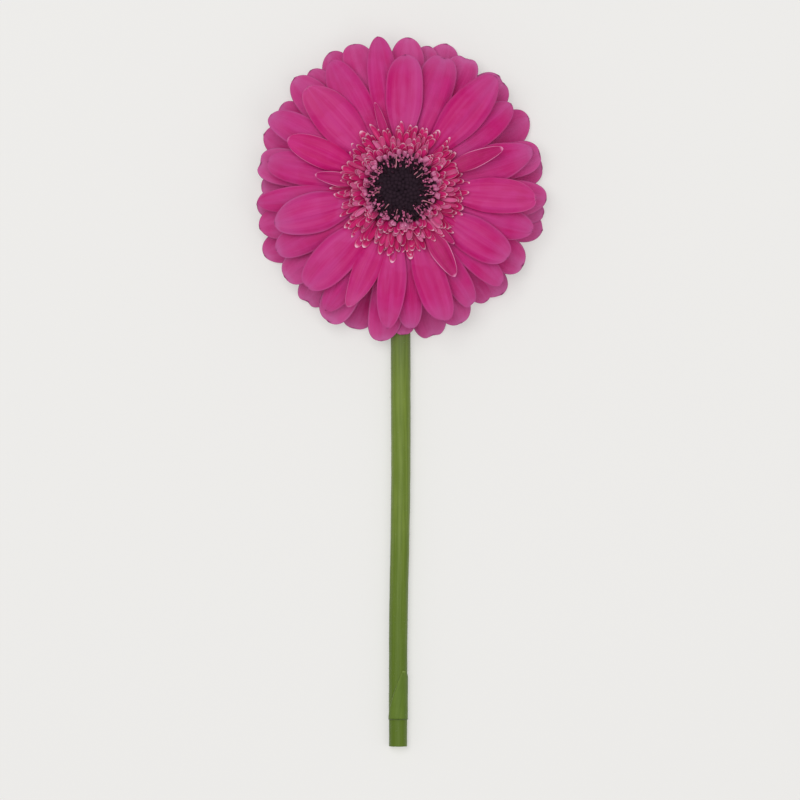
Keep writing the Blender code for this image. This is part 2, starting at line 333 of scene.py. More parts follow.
def blade_group(shell: bpy.types.NodeTree) -> bpy.types.NodeTree:
    """Makes one petal, floret or bract, lying out along +Y from its root, as a closed thin blade.

    Args:
        shell: the group that gives a sheet its thickness.

    Returns:
        The group. Its lengths are in metres, and its slopes rise over run.
    """
    g = Graph.group("blade", TreeKind.GEOMETRY)
    across = g.given("Across", Socket.COUNT, 20)
    along = g.given("Along", Socket.COUNT, 32)
    length, width, root_share, belly = g.numbers(length=30 * MM, width=10 * MM, root_share=0.25, belly=0.6)
    roundness, rise = g.numbers(tip_roundness=2.6, rise=0.0)
    slope, tip_slope = g.numbers(root_slope=0.0, tip_slope=0.0)
    cup, rib, ripple, swell, sway = g.numbers(cup=0.0, rib=0.0, ripple=0.0, swell=0.0, sway=0.0)
    roll, notch, skew, thickness = g.numbers(roll=0.0, notch=0.0, skew=0.0, thickness=0.3 * MM)
    fray, seed = g.numbers(fray=0.0, seed=0.0)

    size = {"Size X": 2.0, "Size Y": 1.0, "Vertices X": across + 1.0, "Vertices Y": along + 1.0}
    grid = g.node("GeometryNodeMeshGrid", size)
    flat_x, flat_y, _ = g.split(g.node("GeometryNodeInputPosition"))
    crowd = math.pi / 2
    to_side = g.math("SINE", flat_x * crowd)
    to_tip = g.math("SINE", (flat_y + 0.5) * crowd) ** TIP_CROWDING
    sheet, place = g.keep(grid, g.vector(to_side, to_tip))
    u, s, _ = g.split(place)

    opening = g.math("SINE", g.math("MINIMUM", s / belly, 1.0) * crowd) ** 2.0
    closing = g.math("MAXIMUM", (s - belly) / (1.0 - belly), 0.0) ** roundness
    closing = g.math("SQRT", g.math("MAXIMUM", 1.0 - closing, 0.0))
    outline = (root_share + (1.0 - root_share) * opening) * closing
    side = u * outline * width * 0.5
    off_centre = u * outline

    square, cube = s * s, s * s * s
    height = (cube - 2.0 * square + s) * slope * length
    height = height + (3.0 * square - 2.0 * cube) * rise + (cube - square) * tip_slope * length
    mid = g.step(s, 0.0, 0.25) * g.step(s, 1.0, 0.8)
    height = height + cup * off_centre * off_centre + g.math("COSINE", u * (3 * math.pi)) * rib * mid
    cloud = g.noise(g.vector(u * 0.7, s * 1.8, seed), 1.0, 1.0) - 0.5
    height = height + cloud * swell * mid * 2.0 + side * roll * s
    wave = g.math("SINE", s * 11.0 + seed * 7.0)
    height = height + wave * ripple * u * u * mid

    near_tip = g.step(s, TIP_ZONE, 1.0)
    dent = g.math("EXPONENT", (side / width) ** 2.0 * -NOTCH_SHARPNESS)
    chip = g.noise(g.vector(u * 2.4, seed, 5.0), 1.0, 2.0) - 0.5
    y = s * length - dent * notch * near_tip + side * skew * near_tip - chip * fray * near_tip
    bent = side + s * s * sway
    moved = g.node("GeometryNodeSetPosition", {"Geometry": sheet, "Position": g.vector(bent, y, height)})
    uv = g.vector(u * 0.5 + 0.5, s)
    moved = g.store(moved, "blade", uv, "CORNER", "FLOAT2")
    thin = (1.0 - g.math("ABSOLUTE", u) ** 6.0) * g.step(s, 0.0, 0.05) * (1.0 - s**12.0)
    closed = g.use(shell, {"Geometry": moved, "Thickness": thin * thickness})
    g.result({"Geometry": closed}, Socket.GEOMETRY)
    return g.tree


def spiral_group() -> bpy.types.NodeTree:
    """Sets pieces out over a disc, as a flower does, each turned outwards and leaning.

    Returns:
        The group. A lean of 0 lies flat, and a quarter turn stands upright.
    """
    g = Graph.group("spiral", TreeKind.GEOMETRY)
    pieces = g.given("Pieces", Socket.GEOMETRY)
    count, kinds = g.given("Count", Socket.COUNT, 10), g.given("Kinds", Socket.COUNT, 1)
    turn, start = g.numbers(turn=GOLDEN_TURN, start=0.0)
    inner, outer = g.numbers(inner_radius=0.0, outer_radius=10 * MM)
    inner_height, outer_height = g.numbers(inner_height=0.0, outer_height=0.0)
    inner_lean, outer_lean = g.numbers(inner_lean=0.0, outer_lean=0.0)
    inner_size, outer_size = g.numbers(inner_size=1.0, outer_size=1.0)
    scatter, tumble = g.numbers(scatter=0.0, tumble=0.0)
    seed = g.given("Chance", Socket.COUNT, 0)

    index = g.node("GeometryNodeInputIndex")
    share = (index + 0.5) / count
    radius = g.math("SQRT", inner * inner + share * (outer * outer - inner * inner))
    reach = (radius - inner) / g.math("MAXIMUM", outer - inner, 0.001 * MM)
    radius = radius + g.random(-1.0, 1.0, seed) * scatter
    angle = index * turn + start + g.random(-1.0, 1.0, seed + 1.0) * tumble * 0.5
    height = inner_height + (outer_height - inner_height) * reach
    spot = g.vector(radius * g.math("COSINE", angle), radius * g.math("SINE", angle), height)
    points = g.node("GeometryNodePoints", {"Count": count, "Position": spot})
    kept, facts = g.keep(points, g.vector(angle, reach))
    angle, reach, _ = g.split(facts)
    lean = inner_lean + (outer_lean - inner_lean) * reach + g.random(-1.0, 1.0, seed + 2.0) * tumble
    rock = g.random(-1.0, 1.0, seed + 3.0) * tumble
    size = (inner_size + (outer_size - inner_size) * reach) * g.random(0.88, 1.12, seed + 4.0)
    chosen = g.math("FLOOR", g.random(0.0, 0.999, seed + 5.0) * kinds)
    standing = {
        "Points": kept,
        "Instance": pieces,
        "Pick Instance": True,
        "Instance Index": chosen,
        "Rotation": g.vector(lean, rock, angle - math.pi / 2),
        "Scale": g.vector(size, size, size),
    }
    instances = g.node("GeometryNodeInstanceOnPoints", standing)
    tone = g.store(instances, "shade", g.random(0.0, 1.0, seed + 6.0), "INSTANCE")
    g.result({"Geometry": g.store(tone, "inwards", 1.0 - reach, "INSTANCE")}, Socket.GEOMETRY)
    return g.tree


def stalk_group() -> bpy.types.NodeTree:
    """Makes the stem: a tapering ribbed rod that lies on the surface and turns up at the neck."""
    g = Graph.group("stalk", TreeKind.GEOMETRY)
    lying, bend, bend_rise = g.numbers(lying_length=170 * MM, bend_radius=11 * MM, bend_rise=10.5 * MM)
    collar, drift, bow = g.numbers(collar=0.8 * MM, drift=0.0, bow=0.0)
    cut_radius, neck_radius = g.numbers(cut_radius=3.1 * MM, neck_radius=3.3 * MM)
    rib, lump = g.numbers(rib=0.0, lump=0.0)
    root = g.given("Cut End", Socket.VECTOR)
    material = g.given("Material", Socket.MATERIAL)

    line = g.node("GeometryNodeCurvePrimitiveLine", {"End": (0.0, 1.0, 0.0)})
    line = g.node("GeometryNodeResampleCurve", {"Curve": line, "Count": 260})
    share = g.node("GeometryNodeSplineParameter", output="Factor")
    gone = share * (lying + bend * (math.pi / 2) + collar)
    angle = g.math("MINIMUM", g.math("MAXIMUM", (gone - lying) / bend, 0.0), math.pi / 2)
    lying_share = g.math("MINIMUM", gone / lying, 1.0)
    radius = cut_radius + (neck_radius - cut_radius) * lying_share
    climb = g.math("MAXIMUM", gone - lying - bend * (math.pi / 2), 0.0)
    x = drift * g.math("COSINE", lying_share * (math.pi / 2)) ** 2.0
    x = x + bow * g.step(lying_share, 0.2, 0.48) * g.step(lying_share, 0.8, 0.52)
    y = g.math("MINIMUM", gone, lying) + bend * g.math("SINE", angle)
    z = radius + bend_rise * (1.0 - g.math("COSINE", angle)) + climb
    spot = g.sum_of("ADD", g.vector(x, y, z), root)
    path, facts = g.keep(line, g.vector(share, radius))
    path = g.node("GeometryNodeSetPosition", {"Geometry": path, "Position": spot})
    share, radius, _ = g.split(facts)
    circle = g.node("GeometryNodeCurvePrimitiveCircle", {"Resolution": 44, "Radius": 1.0})
    around = g.node("GeometryNodeSplineParameter", output="Factor") * (2 * math.pi)
    ring, turn = g.keep(circle, g.vector(g.math("COSINE", around), g.math("SINE", around)))
    sweep = {"Curve": path, "Profile Curve": ring, "Scale": radius, "Fill Caps": True}
    tube = g.node("GeometryNodeCurveToMesh", sweep)
    c, s, _ = g.split(turn)
    grooves = g.noise(g.vector(c * 2.6, s * 2.6, share * 1.5), 2.2, 1.0) - 0.5
    lumps = g.noise(g.vector(c * 0.6, s * 0.6, share * 26.0), 1.0, 2.0) - 0.5
    tube = g.pushed(tube, grooves * rib + lumps * lump)
    tube = g.store(tube, "stalk", g.vector(c, s, share), "POINT", "FLOAT_VECTOR")
    tube = g.node("GeometryNodeMergeByDistance", {"Geometry": tube, "Distance": WELD})
    return g.finish(tube, material)


def sheath_group(shell: bpy.types.NodeTree) -> bpy.types.NodeTree:
    """Makes the pointed bract that wraps the stem near its cut end.

    Args:
        shell: the group that gives a sheet its thickness.

    Returns:
        The group. Its angles run round the stem from +X, over the top.
    """
    g = Graph.group("sheath", TreeKind.GEOMETRY)
    length, radius, left, right = g.numbers(length=20 * MM, radius=3.5 * MM, left=math.pi, right=0.0)
    point, flare, thickness = g.numbers(point=math.pi / 2, flare=0.0, thickness=0.4 * MM)
    root, material = g.given("Root", Socket.VECTOR), g.given("Material", Socket.MATERIAL)
    size = {"Size X": 2.0, "Size Y": 1.0, "Vertices X": 25, "Vertices Y": 41}
    grid = g.node("GeometryNodeMeshGrid", size)
    flat_x, flat_y, _ = g.split(g.node("GeometryNodeInputPosition"))
    sheet, place = g.keep(grid, g.vector(flat_x, g.math("SINE", (flat_y + 0.5) * (math.pi / 2))))
    u, s, _ = g.split(place)
    from_left = point + (left - point) * (1.0 - s**1.1)
    from_right = point + (right - point) * g.math("SQRT", g.math("MAXIMUM", 1.0 - s**3.0, 0.0))
    angle = from_left + (from_right - from_left) * (u * 0.5 + 0.5)
    lift = g.noise(g.vector(u * 1.2, s * 4.0, 3.0), 1.0) * (0.12 * MM)
    out = radius + flare * s * s * (0.4 + 0.6 * u * u) + lift
    spot = g.vector(out * g.math("COSINE", angle), s * length, out * g.math("SINE", angle))
    spot = g.sum_of("ADD", spot, root)
    moved = g.node("GeometryNodeSetPosition", {"Geometry": sheet, "Position": spot})
    moved = g.store(moved, "blade", g.vector(u * 0.5 + 0.5, s), "CORNER", "FLOAT2")
    thin = (1.0 - g.math("ABSOLUTE", u) ** 8.0) * g.step(s, 0.0, 0.03) * (1.0 - s**16.0)
    closed = g.use(shell, {"Geometry": moved, "Thickness": thin * thickness})
    return g.finish(closed, material)


def down_group() -> bpy.types.NodeTree:
    """Makes the short hairs that stand on a surface."""
    g = Graph.group("down", TreeKind.GEOMETRY)
    surface = g.given("Surface", Socket.GEOMETRY)
    density, lowest, length, thickness = g.numbers(
        density=1_000_000.0, lowest=1 * MM, length=0.4 * MM, thickness=0.03 * MM
    )
    material = g.given("Material", Socket.MATERIAL)
    height = g.split(g.node("GeometryNodeInputPosition"))[2]
    free = g.math("GREATER_THAN", height, lowest)
    sown = {"Mesh": surface, "Selection": free, "Density": density, "Seed": 4}
    spots = g.node("GeometryNodeDistributePointsOnFaces", sown)
    away = g.also(spots, "Rotation")
    limits = {"Min": (-0.5, -0.5, 0), "Max": (0.5, 0.5, 6.3), "Seed": 5}
    tilt = g.node("FunctionNodeRandomValue", limits, "Value", data_type="FLOAT_VECTOR")
    turned = g.node("FunctionNodeRotateRotation", {0: away, 1: tilt}, rotation_space="LOCAL")
    cone = {"Vertices": 3, "Radius Top": thickness * 0.15, "Radius Bottom": thickness, "Depth": length}
    hair = g.node("GeometryNodeMeshCone", cone, fill_type="NGON")
    size = g.random(0.5, 1.3, 6)
    standing = {"Points": spots, "Instance": hair, "Rotation": turned, "Scale": g.vector(size, size, size)}
    return g.finish(g.node("GeometryNodeInstanceOnPoints", standing), material)


# --- shader groups ---------------------------------------------------------------------------------


def veins_group() -> bpy.types.NodeTree:
    """Fine lines that run the length of a blade, as a mask from 0 to 1."""
    g = Graph.group("veins", TreeKind.SHADER)
    place = g.given("Blade", Socket.VECTOR)
    count, seed = g.numbers(count=20.0, seed=0.0)
    u, s, _ = g.split(place)
    fine = g.noise(g.vector(u * count, s * 1.6, seed * 9.0), 1.0, 3.0)
    broad = g.noise(g.vector(u * count * 0.25, s * 0.8, seed * 5.0 + 3.0), 1.0, 1.0)
    groove = 0.5 - g.math("COSINE", (u - 0.5) * (6 * math.pi)) * 0.5
    groove = groove * groove * g.step(s, 0.1, 0.4) * g.step(s, 1.0, 0.75)
    lines = g.step(fine * 0.65 + broad * 0.35, 0.35, 0.68)
    band = g.step(g.noise(g.vector(u * 3.0, s * 1.3, seed * 7.0 + 11.0), 1.0, 2.0), 0.36, 0.62)
    g.result({"Lines": lines, "Grooves": groove, "Bands": band}, Socket.NUMBER)
    return g.tree


def rim_group() -> bpy.types.NodeTree:
    """The edge of a blade, as a mask that is 1 on its outline."""
    g = Graph.group("rim", TreeKind.SHADER)
    place = g.given("Blade", Socket.VECTOR)
    side, tip = g.numbers(side=0.1, tip=0.1)
    u, s, _ = g.split(place)
    inset = 1.0 - g.math("ABSOLUTE", u * 2.0 - 1.0)
    by_side = g.step(inset, 0.0, side, 1.0, 0.0)
    by_tip = g.step(1.0 - s, 0.0, tip, 1.0, 0.0)
    g.result({"Rim": g.math("MAXIMUM", by_side, by_tip)}, Socket.NUMBER)
    return g.tree


def mottle_group() -> bpy.types.NodeTree:
    """Soft clouds over a surface, as a mask from 0 to 1."""
    g = Graph.group("mottle", TreeKind.SHADER)
    scale = g.given("Scale", default=100.0)
    noise = g.noise(g.node("ShaderNodeTexCoord", output="Object"), scale, 3.0)
    g.result({"Cloud": g.step(noise, 0.3, 0.7)}, Socket.NUMBER)
    return g.tree


@dataclass(frozen=True)
class Effects:
    """The shader groups that the finishes share."""

    veins: bpy.types.NodeTree
    rim: bpy.types.NodeTree
    mottle: bpy.types.NodeTree


class Paint:
    """A material under construction round one Principled shader."""

    def __init__(self, name: str, **constants: float | tuple) -> None:
        """Makes the material.

        Args:
            name: the material's name.
            **constants: shader inputs that are the same all over, with _ for spaces.
        """
        self.material = bpy.data.materials.new(name)
        self.material.use_nodes = True
        self.graph = Graph(self.material.node_tree)
        self.shader = self.material.node_tree.nodes["Principled BSDF"]
        for key, value in constants.items():
            self.shader.inputs[key.replace("_", " ").title().replace("Ior", "IOR")].default_value = value

    def feed(self, name: str, wire: Wire) -> None:
        """Drives one of the shader's inputs."""
        self.material.node_tree.links.new(wire.socket, self.shader.inputs[name])

    def bump(self, height: Wire, strength: float, depth: float) -> None:
        """Adds relief too fine to model."""
        inputs = {"Strength": strength, "Distance": depth, "Height": height}
        self.feed("Normal", self.graph.node("ShaderNodeBump", inputs))

    def attribute(self, name: str) -> Wire:
        """A number that the geometry carries."""
        return self.graph.node("ShaderNodeAttribute", output="Fac", attribute_name=name)

    def blade(self) -> Wire:
        """The place on a blade: across in X and along in Y, both from 0 to 1."""
        return self.graph.node("ShaderNodeUVMap", uv_map="blade")


@dataclass(frozen=True)
class PetalFinish:
    """The skin of a ray floret: satin pink, finely veined, mauve at its tips and in patches, paler behind,
    and paler at its edges by a painted sheen, with painted shade in its grooves and along its outline.
    """

    name: str
    effects: Effects
    body: Colour = linear(198, 36, 128)
    deep: Colour = linear(188, 2, 105)
    # Pale mauve: the petal's own tone at its tip and in patches, and a painted sheen along its edges.
    bloom: Colour = linear(192, 86, 149)
    behind: Colour = linear(196, 96, 148)
    # A thin dark line along the outline: painted shade.
    outline: Colour = linear(150, 52, 104)
    # The width and share of the painted sheen along the edges.
    bloom_side: float = 0.16
    bloom_share: float = 0.5
    bloom_tip: float = 0.4
    rim_tip: float = 0.08
    rim_start: float = 0.1
    outline_share: float = 0.3
    roughness: float = 0.5

    def material(self) -> bpy.types.Material:
        """Builds the material."""
        paint = Paint(
            self.name,
            sheen_weight=0.06,
            sheen_roughness=0.4,
            sheen_tint=linear(240, 170, 215),
            specular_ior_level=0.22,
        )
        g, place, shade = paint.graph, paint.blade(), paint.attribute("shade")
        lines = g.use(self.effects.veins, {"Blade": place, "Count": 24.0, "Seed": shade})
        grooves, bands = g.also(lines, "Grooves"), g.also(lines, "Bands")
        rim = g.use(self.effects.rim, {"Blade": place, "Side": self.bloom_side, "Tip": self.rim_tip})
        rim = rim * g.step(g.split(place)[1], self.rim_start, self.rim_start + 0.35)
        outline = g.use(self.effects.rim, {"Blade": place, "Side": 0.05, "Tip": 0.012})
        cloud = g.use(self.effects.mottle, {"Scale": 70.0})
        s = g.split(place)[1]
        patches = g.step(g.use(self.effects.mottle, {"Scale": 130.0}), 0.3, 0.75)
        # The grooves' share darkens the hollows between the ribs: painted shade. Lines, bands and patches
        # are the petal's own tone.
        depth = lines * 0.38 + grooves * 0.16 + bands * 0.42 + patches * 0.34
        colour = g.blend(depth, self.body, self.deep)
        # Share of pale mauve: the petal's own tone at the tip, in clouds and near the root; along the edges
        # it is painted sheen.
        mauve_and_sheen_share = g.step(s, 0.72, 1.0) * (0.5 + 0.7 * shade) * self.bloom_tip
        mauve_and_sheen_share = mauve_and_sheen_share + rim * self.bloom_share * (0.4 + 0.5 * shade)
        mauve_and_sheen_share = mauve_and_sheen_share + g.step(cloud, 1.0, 0.1) * (0.06 + 0.38 * self.bloom_tip * g.step(s, 0.35, 0.9))
        mauve_and_sheen_share = mauve_and_sheen_share + (1.0 - bands) * g.step(s, 0.05, 0.38) * self.bloom_tip * 0.3
        mauve_and_sheen_share = mauve_and_sheen_share + g.step(s, 0.55, 0.2) * (1.0 - patches) * self.bloom_tip * 0.5
        colour = g.blend(g.math("MINIMUM", mauve_and_sheen_share, 0.9), colour, self.bloom)
        # Painted shade: a thin dark line along the outline.
        colour = g.blend(outline * self.outline_share, colour, self.outline)
        colour = g.blend(paint.attribute("underside") * 0.8, colour, self.behind)
        paint.feed("Base Color", colour)
        paint.feed("Roughness", g.math("ADD", lines * 0.12, self.roughness))
        fine = g.use(self.effects.veins, {"Blade": place, "Count": 60.0, "Seed": shade + 2.0})
        paint.bump(fine * 0.6 + lines + grooves, 0.4, 0.14 * MM)
        return paint.material


@dataclass(frozen=True)
class FrillFinish:
    """The skin of the trans florets: raspberry, with whitish lips, paler towards the disc, and darker at
    their roots, which is painted shade.
    """

    name: str
    effects: Effects
    body: Colour = linear(216, 40, 124)
    deep: Colour = linear(176, 2, 86)
    # Painted shade at the florets' roots, where they crowd together.
    root: Colour = linear(132, 0, 54)
    inner: Colour = linear(228, 122, 174)
    lip: Colour = linear(255, 210, 232)
    lip_share: float = 0.84
    lip_start: float = 0.75

    def material(self) -> bpy.types.Material:
        """Builds the material."""
        paint = Paint(self.name, roughness=0.36, sheen_weight=0.04, specular_ior_level=0.4)
        g, place, shade = paint.graph, paint.blade(), paint.attribute("shade")
        lines = g.use(self.effects.veins, {"Blade": place, "Count": 6.0, "Seed": shade})
        rim = g.use(self.effects.rim, {"Blade": place, "Side": 0.16, "Tip": 0.14})
        s = g.split(place)[1]
        colour = g.blend(lines * 0.35 + shade * 0.45, self.body, self.deep)
        paler = g.step(paint.attribute("inwards"), 0.5, 0.95) * (0.62 + shade * 0.36)
        colour = g.blend(paler, colour, self.inner)
        # Painted shade darkens the roots.
        colour = g.blend(g.step(s, 0.36, 0.0) * 0.75, colour, self.root)
        lip = g.step(s, self.lip_start, 0.95) * 0.7 + g.step(s, 0.4, self.lip_start) * 0.05
        bead = g.step(s, 0.9, 0.97)
        fade = 1.0 - g.step(paint.attribute("inwards"), 0.3, 0.8) * 0.5
        colour = g.blend(g.math("MAXIMUM", rim * lip, bead) * fade * self.lip_share, colour, self.lip)
        paint.feed("Base Color", colour)
        paint.bump(lines, 0.3, 0.08 * MM)
        return paint.material


@dataclass(frozen=True)
class ThreadFinish:
    """The skin of stamens, buds and hairs: one tone, with its own variation."""

    name: str
    effects: Effects
    dark: Colour
    light: Colour
    roughness: float = 0.55
    gloss: float = 0.35
    scale: float = 700.0

    def material(self) -> bpy.types.Material:
        """Builds the material."""
        paint = Paint(self.name, roughness=self.roughness, specular_ior_level=self.gloss)
        g = paint.graph
        cloud = g.use(self.effects.mottle, {"Scale": self.scale})
        tone = cloud * 0.5 + paint.attribute("shade") * 0.5
        paint.feed("Base Color", g.blend(tone, self.dark, self.light))
        paint.bump(cloud, 0.3, 0.05 * MM)
        return paint.material


@dataclass(frozen=True)
class GreenFinish:
    """The skin of the bracts: green, veined and downy."""

    name: str
    effects: Effects
    body: Colour = linear(108, 132, 46)
    deep: Colour = linear(82, 108, 28)
    edge: Colour = linear(150, 168, 92)
    edge_side: float = 0.18
    edge_tip: float = 0.12

    def material(self) -> bpy.types.Material:
        """Builds the material."""
        paint = Paint(
            self.name, roughness=0.6, sheen_weight=0.1, sheen_roughness=0.5, specular_ior_level=0.3
        )
        g, place, shade = paint.graph, paint.blade(), paint.attribute("shade")
        lines = g.use(self.effects.veins, {"Blade": place, "Count": 14.0, "Seed": shade})
        rim = g.use(self.effects.rim, {"Blade": place, "Side": self.edge_side, "Tip": self.edge_tip})
        cloud = g.use(self.effects.mottle, {"Scale": 160.0})
        colour = g.blend(lines * 0.6 + cloud * 0.3, self.body, self.deep)
        paint.feed("Base Color", g.blend(rim * 0.7, colour, self.edge))
        paint.bump(lines, 0.4, 0.1 * MM)
        return paint.material


@dataclass(frozen=True)
class StemFinish:
    """The skin of the stem: green with lengthwise streaks, and pale pith where it is cut."""

    name: str
    effects: Effects
    cut_end: float
    body: Colour = linear(120, 140, 54)
    deep: Colour = linear(94, 116, 30)
    neck: Colour = linear(102, 113, 74)
    foot: Colour = linear(76, 101, 6)
    pith: Colour = linear(196, 208, 150)

    def material(self) -> bpy.types.Material:
        """Builds the material."""
        paint = Paint(
            self.name, roughness=0.5, sheen_weight=0.1, sheen_roughness=0.5, specular_ior_level=0.25
        )
        g = paint.graph
        place = g.node("ShaderNodeAttribute", output="Vector", attribute_name="stalk")
        c, s, share = g.split(place)
        streaks = g.noise(g.vector(c * 3.0, s * 3.0, share * 5.0), 1.6, 4.0)
        streaks = g.step(streaks, 0.36, 0.64)
        cloud = g.use(self.effects.mottle, {"Scale": 60.0})
        colour = g.blend(streaks * 0.55 + cloud * 0.35, self.body, self.deep)
        colour = g.blend(g.step(share, 0.58, 0.86) * 0.75, colour, self.neck)
        colour = g.blend(g.step(share, 0.45, 0.12) * 0.7, colour, self.foot)
        y = g.split(g.node("ShaderNodeTexCoord", output="Object"))[1]
        normal = g.node("ShaderNodeNewGeometry", output="Normal")
        facing = g.math("MULTIPLY", g.split(normal)[1], -1.0)
        cut = g.step(facing, 0.85, 0.95) * g.step(y, self.cut_end + 0.6 * MM, self.cut_end + 0.3 * MM)
        paint.feed("Base Color", g.blend(cut, colour, self.pith))
        fine = g.noise(g.vector(c * 9.0, s * 9.0, share * 14.0), 2.0, 3.0)
        paint.bump(fine + streaks, 0.35, 0.12 * MM)
        return paint.material


@dataclass(frozen=True)
class CushionFinish:
    """The flesh of the receptacle: green behind, with painted shade on top: dark red between the florets
    and near-black under the disc.
    """

    name: str
    effects: Effects
    axis: Vector
    disc_radius: float = 11.0 * MM
    body: Colour = linear(150, 164, 96)
    deep: Colour = linear(116, 134, 68)
    # Painted shade between the florets.
    face: Colour = linear(96, 6, 44)
    # Painted shade under the disc's buds.
    disc: Colour = linear(20, 12, 18)

    def material(self) -> bpy.types.Material:
        """Builds the material."""
        paint = Paint(self.name, roughness=0.6)
        g = paint.graph
        cloud = g.use(self.effects.mottle, {"Scale": 220.0})
        x, y, z = g.split(g.node("ShaderNodeTexCoord", output="Object"))
        colour = g.blend(cloud, self.body, self.deep)
        top = self.axis.z
        # Painted shade: dark red on the top, between the florets.
        colour = g.blend(g.step(z, top - 7.0 * MM, top - 4.0 * MM), colour, self.face)
        out = g.math("SQRT", (x - self.axis.x) ** 2.0 + (y - self.axis.y) ** 2.0)
        # Painted shade: near-black under the buds, so that the gaps between them read dark.
        disc = g.step(out, self.disc_radius + 1.0 * MM, self.disc_radius)
        disc = disc * g.step(z, top - 4.0 * MM, top - 3.0 * MM)
        paint.feed("Base Color", g.blend(disc, colour, self.disc))
        paint.bump(cloud, 0.4, 0.15 * MM)
        return paint.material


@dataclass(frozen=True)
class FloorFinish:
    """The plain pale surface that the flower lies on."""

    name: str
    tone: Colour = linear(184, 183, 181)
    glow: Colour = linear(240, 239, 237)
    glow_strength: float = 0.435

    def material(self) -> bpy.types.Material:
        """Builds the material, which glows a little, so that shadows on it stay light."""
        return Paint(
            self.name, base_color=self.tone, roughness=0.9, specular_ior_level=0.1,
            emission_color=self.glow, emission_strength=self.glow_strength,
        ).material


# --- making pieces -----------------------------------------------------------------------------------


def grow(name: str, tree: bpy.types.NodeTree, **inputs: object) -> bpy.types.Object:
    """Runs a geometry tree once and keeps its result as a plain mesh at the origin.

    Args:
        name: the piece's name.
        tree: the tree.
        **inputs: the tree's inputs, in small letters with _ for spaces.

    Returns:
        The piece.
    """
    piece = bpy.data.objects.new(name, bpy.data.meshes.new(name))
    bpy.context.scene.collection.objects.link(piece)
    modifier = piece.modifiers.new("grow", "NODES")
    modifier.node_group = tree
    for item in tree.interface.items_tree:
        key = item.name.lower().replace(" ", "_")
        if item.in_out == "INPUT" and key in inputs:
            modifier[item.identifier] = inputs.pop(key)
    if inputs:
        raise KeyError(f"{tree.name} has no input {sorted(inputs)}")
    depsgraph = bpy.context.evaluated_depsgraph_get()
    grown = piece.evaluated_get(depsgraph)
    mesh = bpy.data.meshes.new_from_object(grown, preserve_all_data_layers=True, depsgraph=depsgraph)
    piece.modifiers.remove(modifier)
    piece.data = mesh
    return piece


def settle(piece: bpy.types.Object, slot: str, *nodes: str) -> None:
    """Puts a piece on its body and in the place of its CAD nodes."""
    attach(piece, BODY)
    if nodes:
        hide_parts(*nodes)
    stands_for = ", ".join(nodes) or "no CAD node"
    LOG.info("%s: %d faces, for %s", piece.name, len(piece.data.polygons), stands_for)


def floret_group(blade: bpy.types.NodeTree) -> bpy.types.NodeTree:
    """Sets one blade at its own place, with its own tone."""
    g = Graph.group("floret", TreeKind.GEOMETRY)
    shape = g.given_as(blade)
    turn, root = g.given("Turn", default=0.0), g.given("Root", Socket.VECTOR)
    shade, material = g.given("Shade", default=0.5), g.given("Material", Socket.MATERIAL)
    facing = g.vector(0.0, 0.0, turn - math.pi / 2)
    inputs = {"Geometry": g.use(blade, shape), "Translation": root, "Rotation": facing}
    placed = g.node("GeometryNodeTransform", inputs)
    return g.finish(g.store(placed, "shade", shade, "POINT"), material)


def spread(
    g: Graph, spiral: bpy.types.NodeTree, order: dict[str, Wire], kinds: list[Wire]
) -> bpy.types.NodeTree:
    """Ends a group by setting pieces out in a spiral round the head's axis.

    Args:
        g: the group.
        spiral: the group that sets pieces out.
        order: its inputs.
        kinds: the kinds of piece, one of which is drawn for each place.

    Returns:
        The group's tree.
    """
    axis, material = g.given("Axis", Socket.VECTOR), g.given("Material", Socket.MATERIAL)
    kinds = [g.node("GeometryNodeGeometryToInstance", {"Geometry": kind}) for kind in kinds]
    pieces = g.node("GeometryNodeJoinGeometry", {"Geometry": kinds})
    set_out = g.use(spiral, order | {"Pieces": pieces, "Kinds": len(kinds)})
    placed = g.node("GeometryNodeTransform", {"Geometry": set_out, "Translation": axis})
    return g.finish(placed, material)


def frill_group(blade: bpy.types.NodeTree, spiral: bpy.types.NodeTree) -> bpy.types.NodeTree:
    """Sets several kinds of one blade out in a spiral."""
    g = Graph.group("frill", TreeKind.GEOMETRY)
    shape, order = g.given_as(blade), g.given_as(spiral)
    kinds = []
    for number, (longer, wider, rounder, cupped) in enumerate(FRILL_KINDS):
        varied = {
            "Length": shape["Length"] * longer,
            "Width": shape["Width"] * wider,
            "Tip Roundness": shape["Tip Roundness"] * rounder,
            "Cup": shape["Cup"] * cupped,
            "Sway": shape["Sway"] * (-1.0) ** number,
            "Seed": shape["Seed"] + float(number),
        }
        kinds.append(g.use(blade, shape | varied))
    return spread(g, spiral, order, kinds)


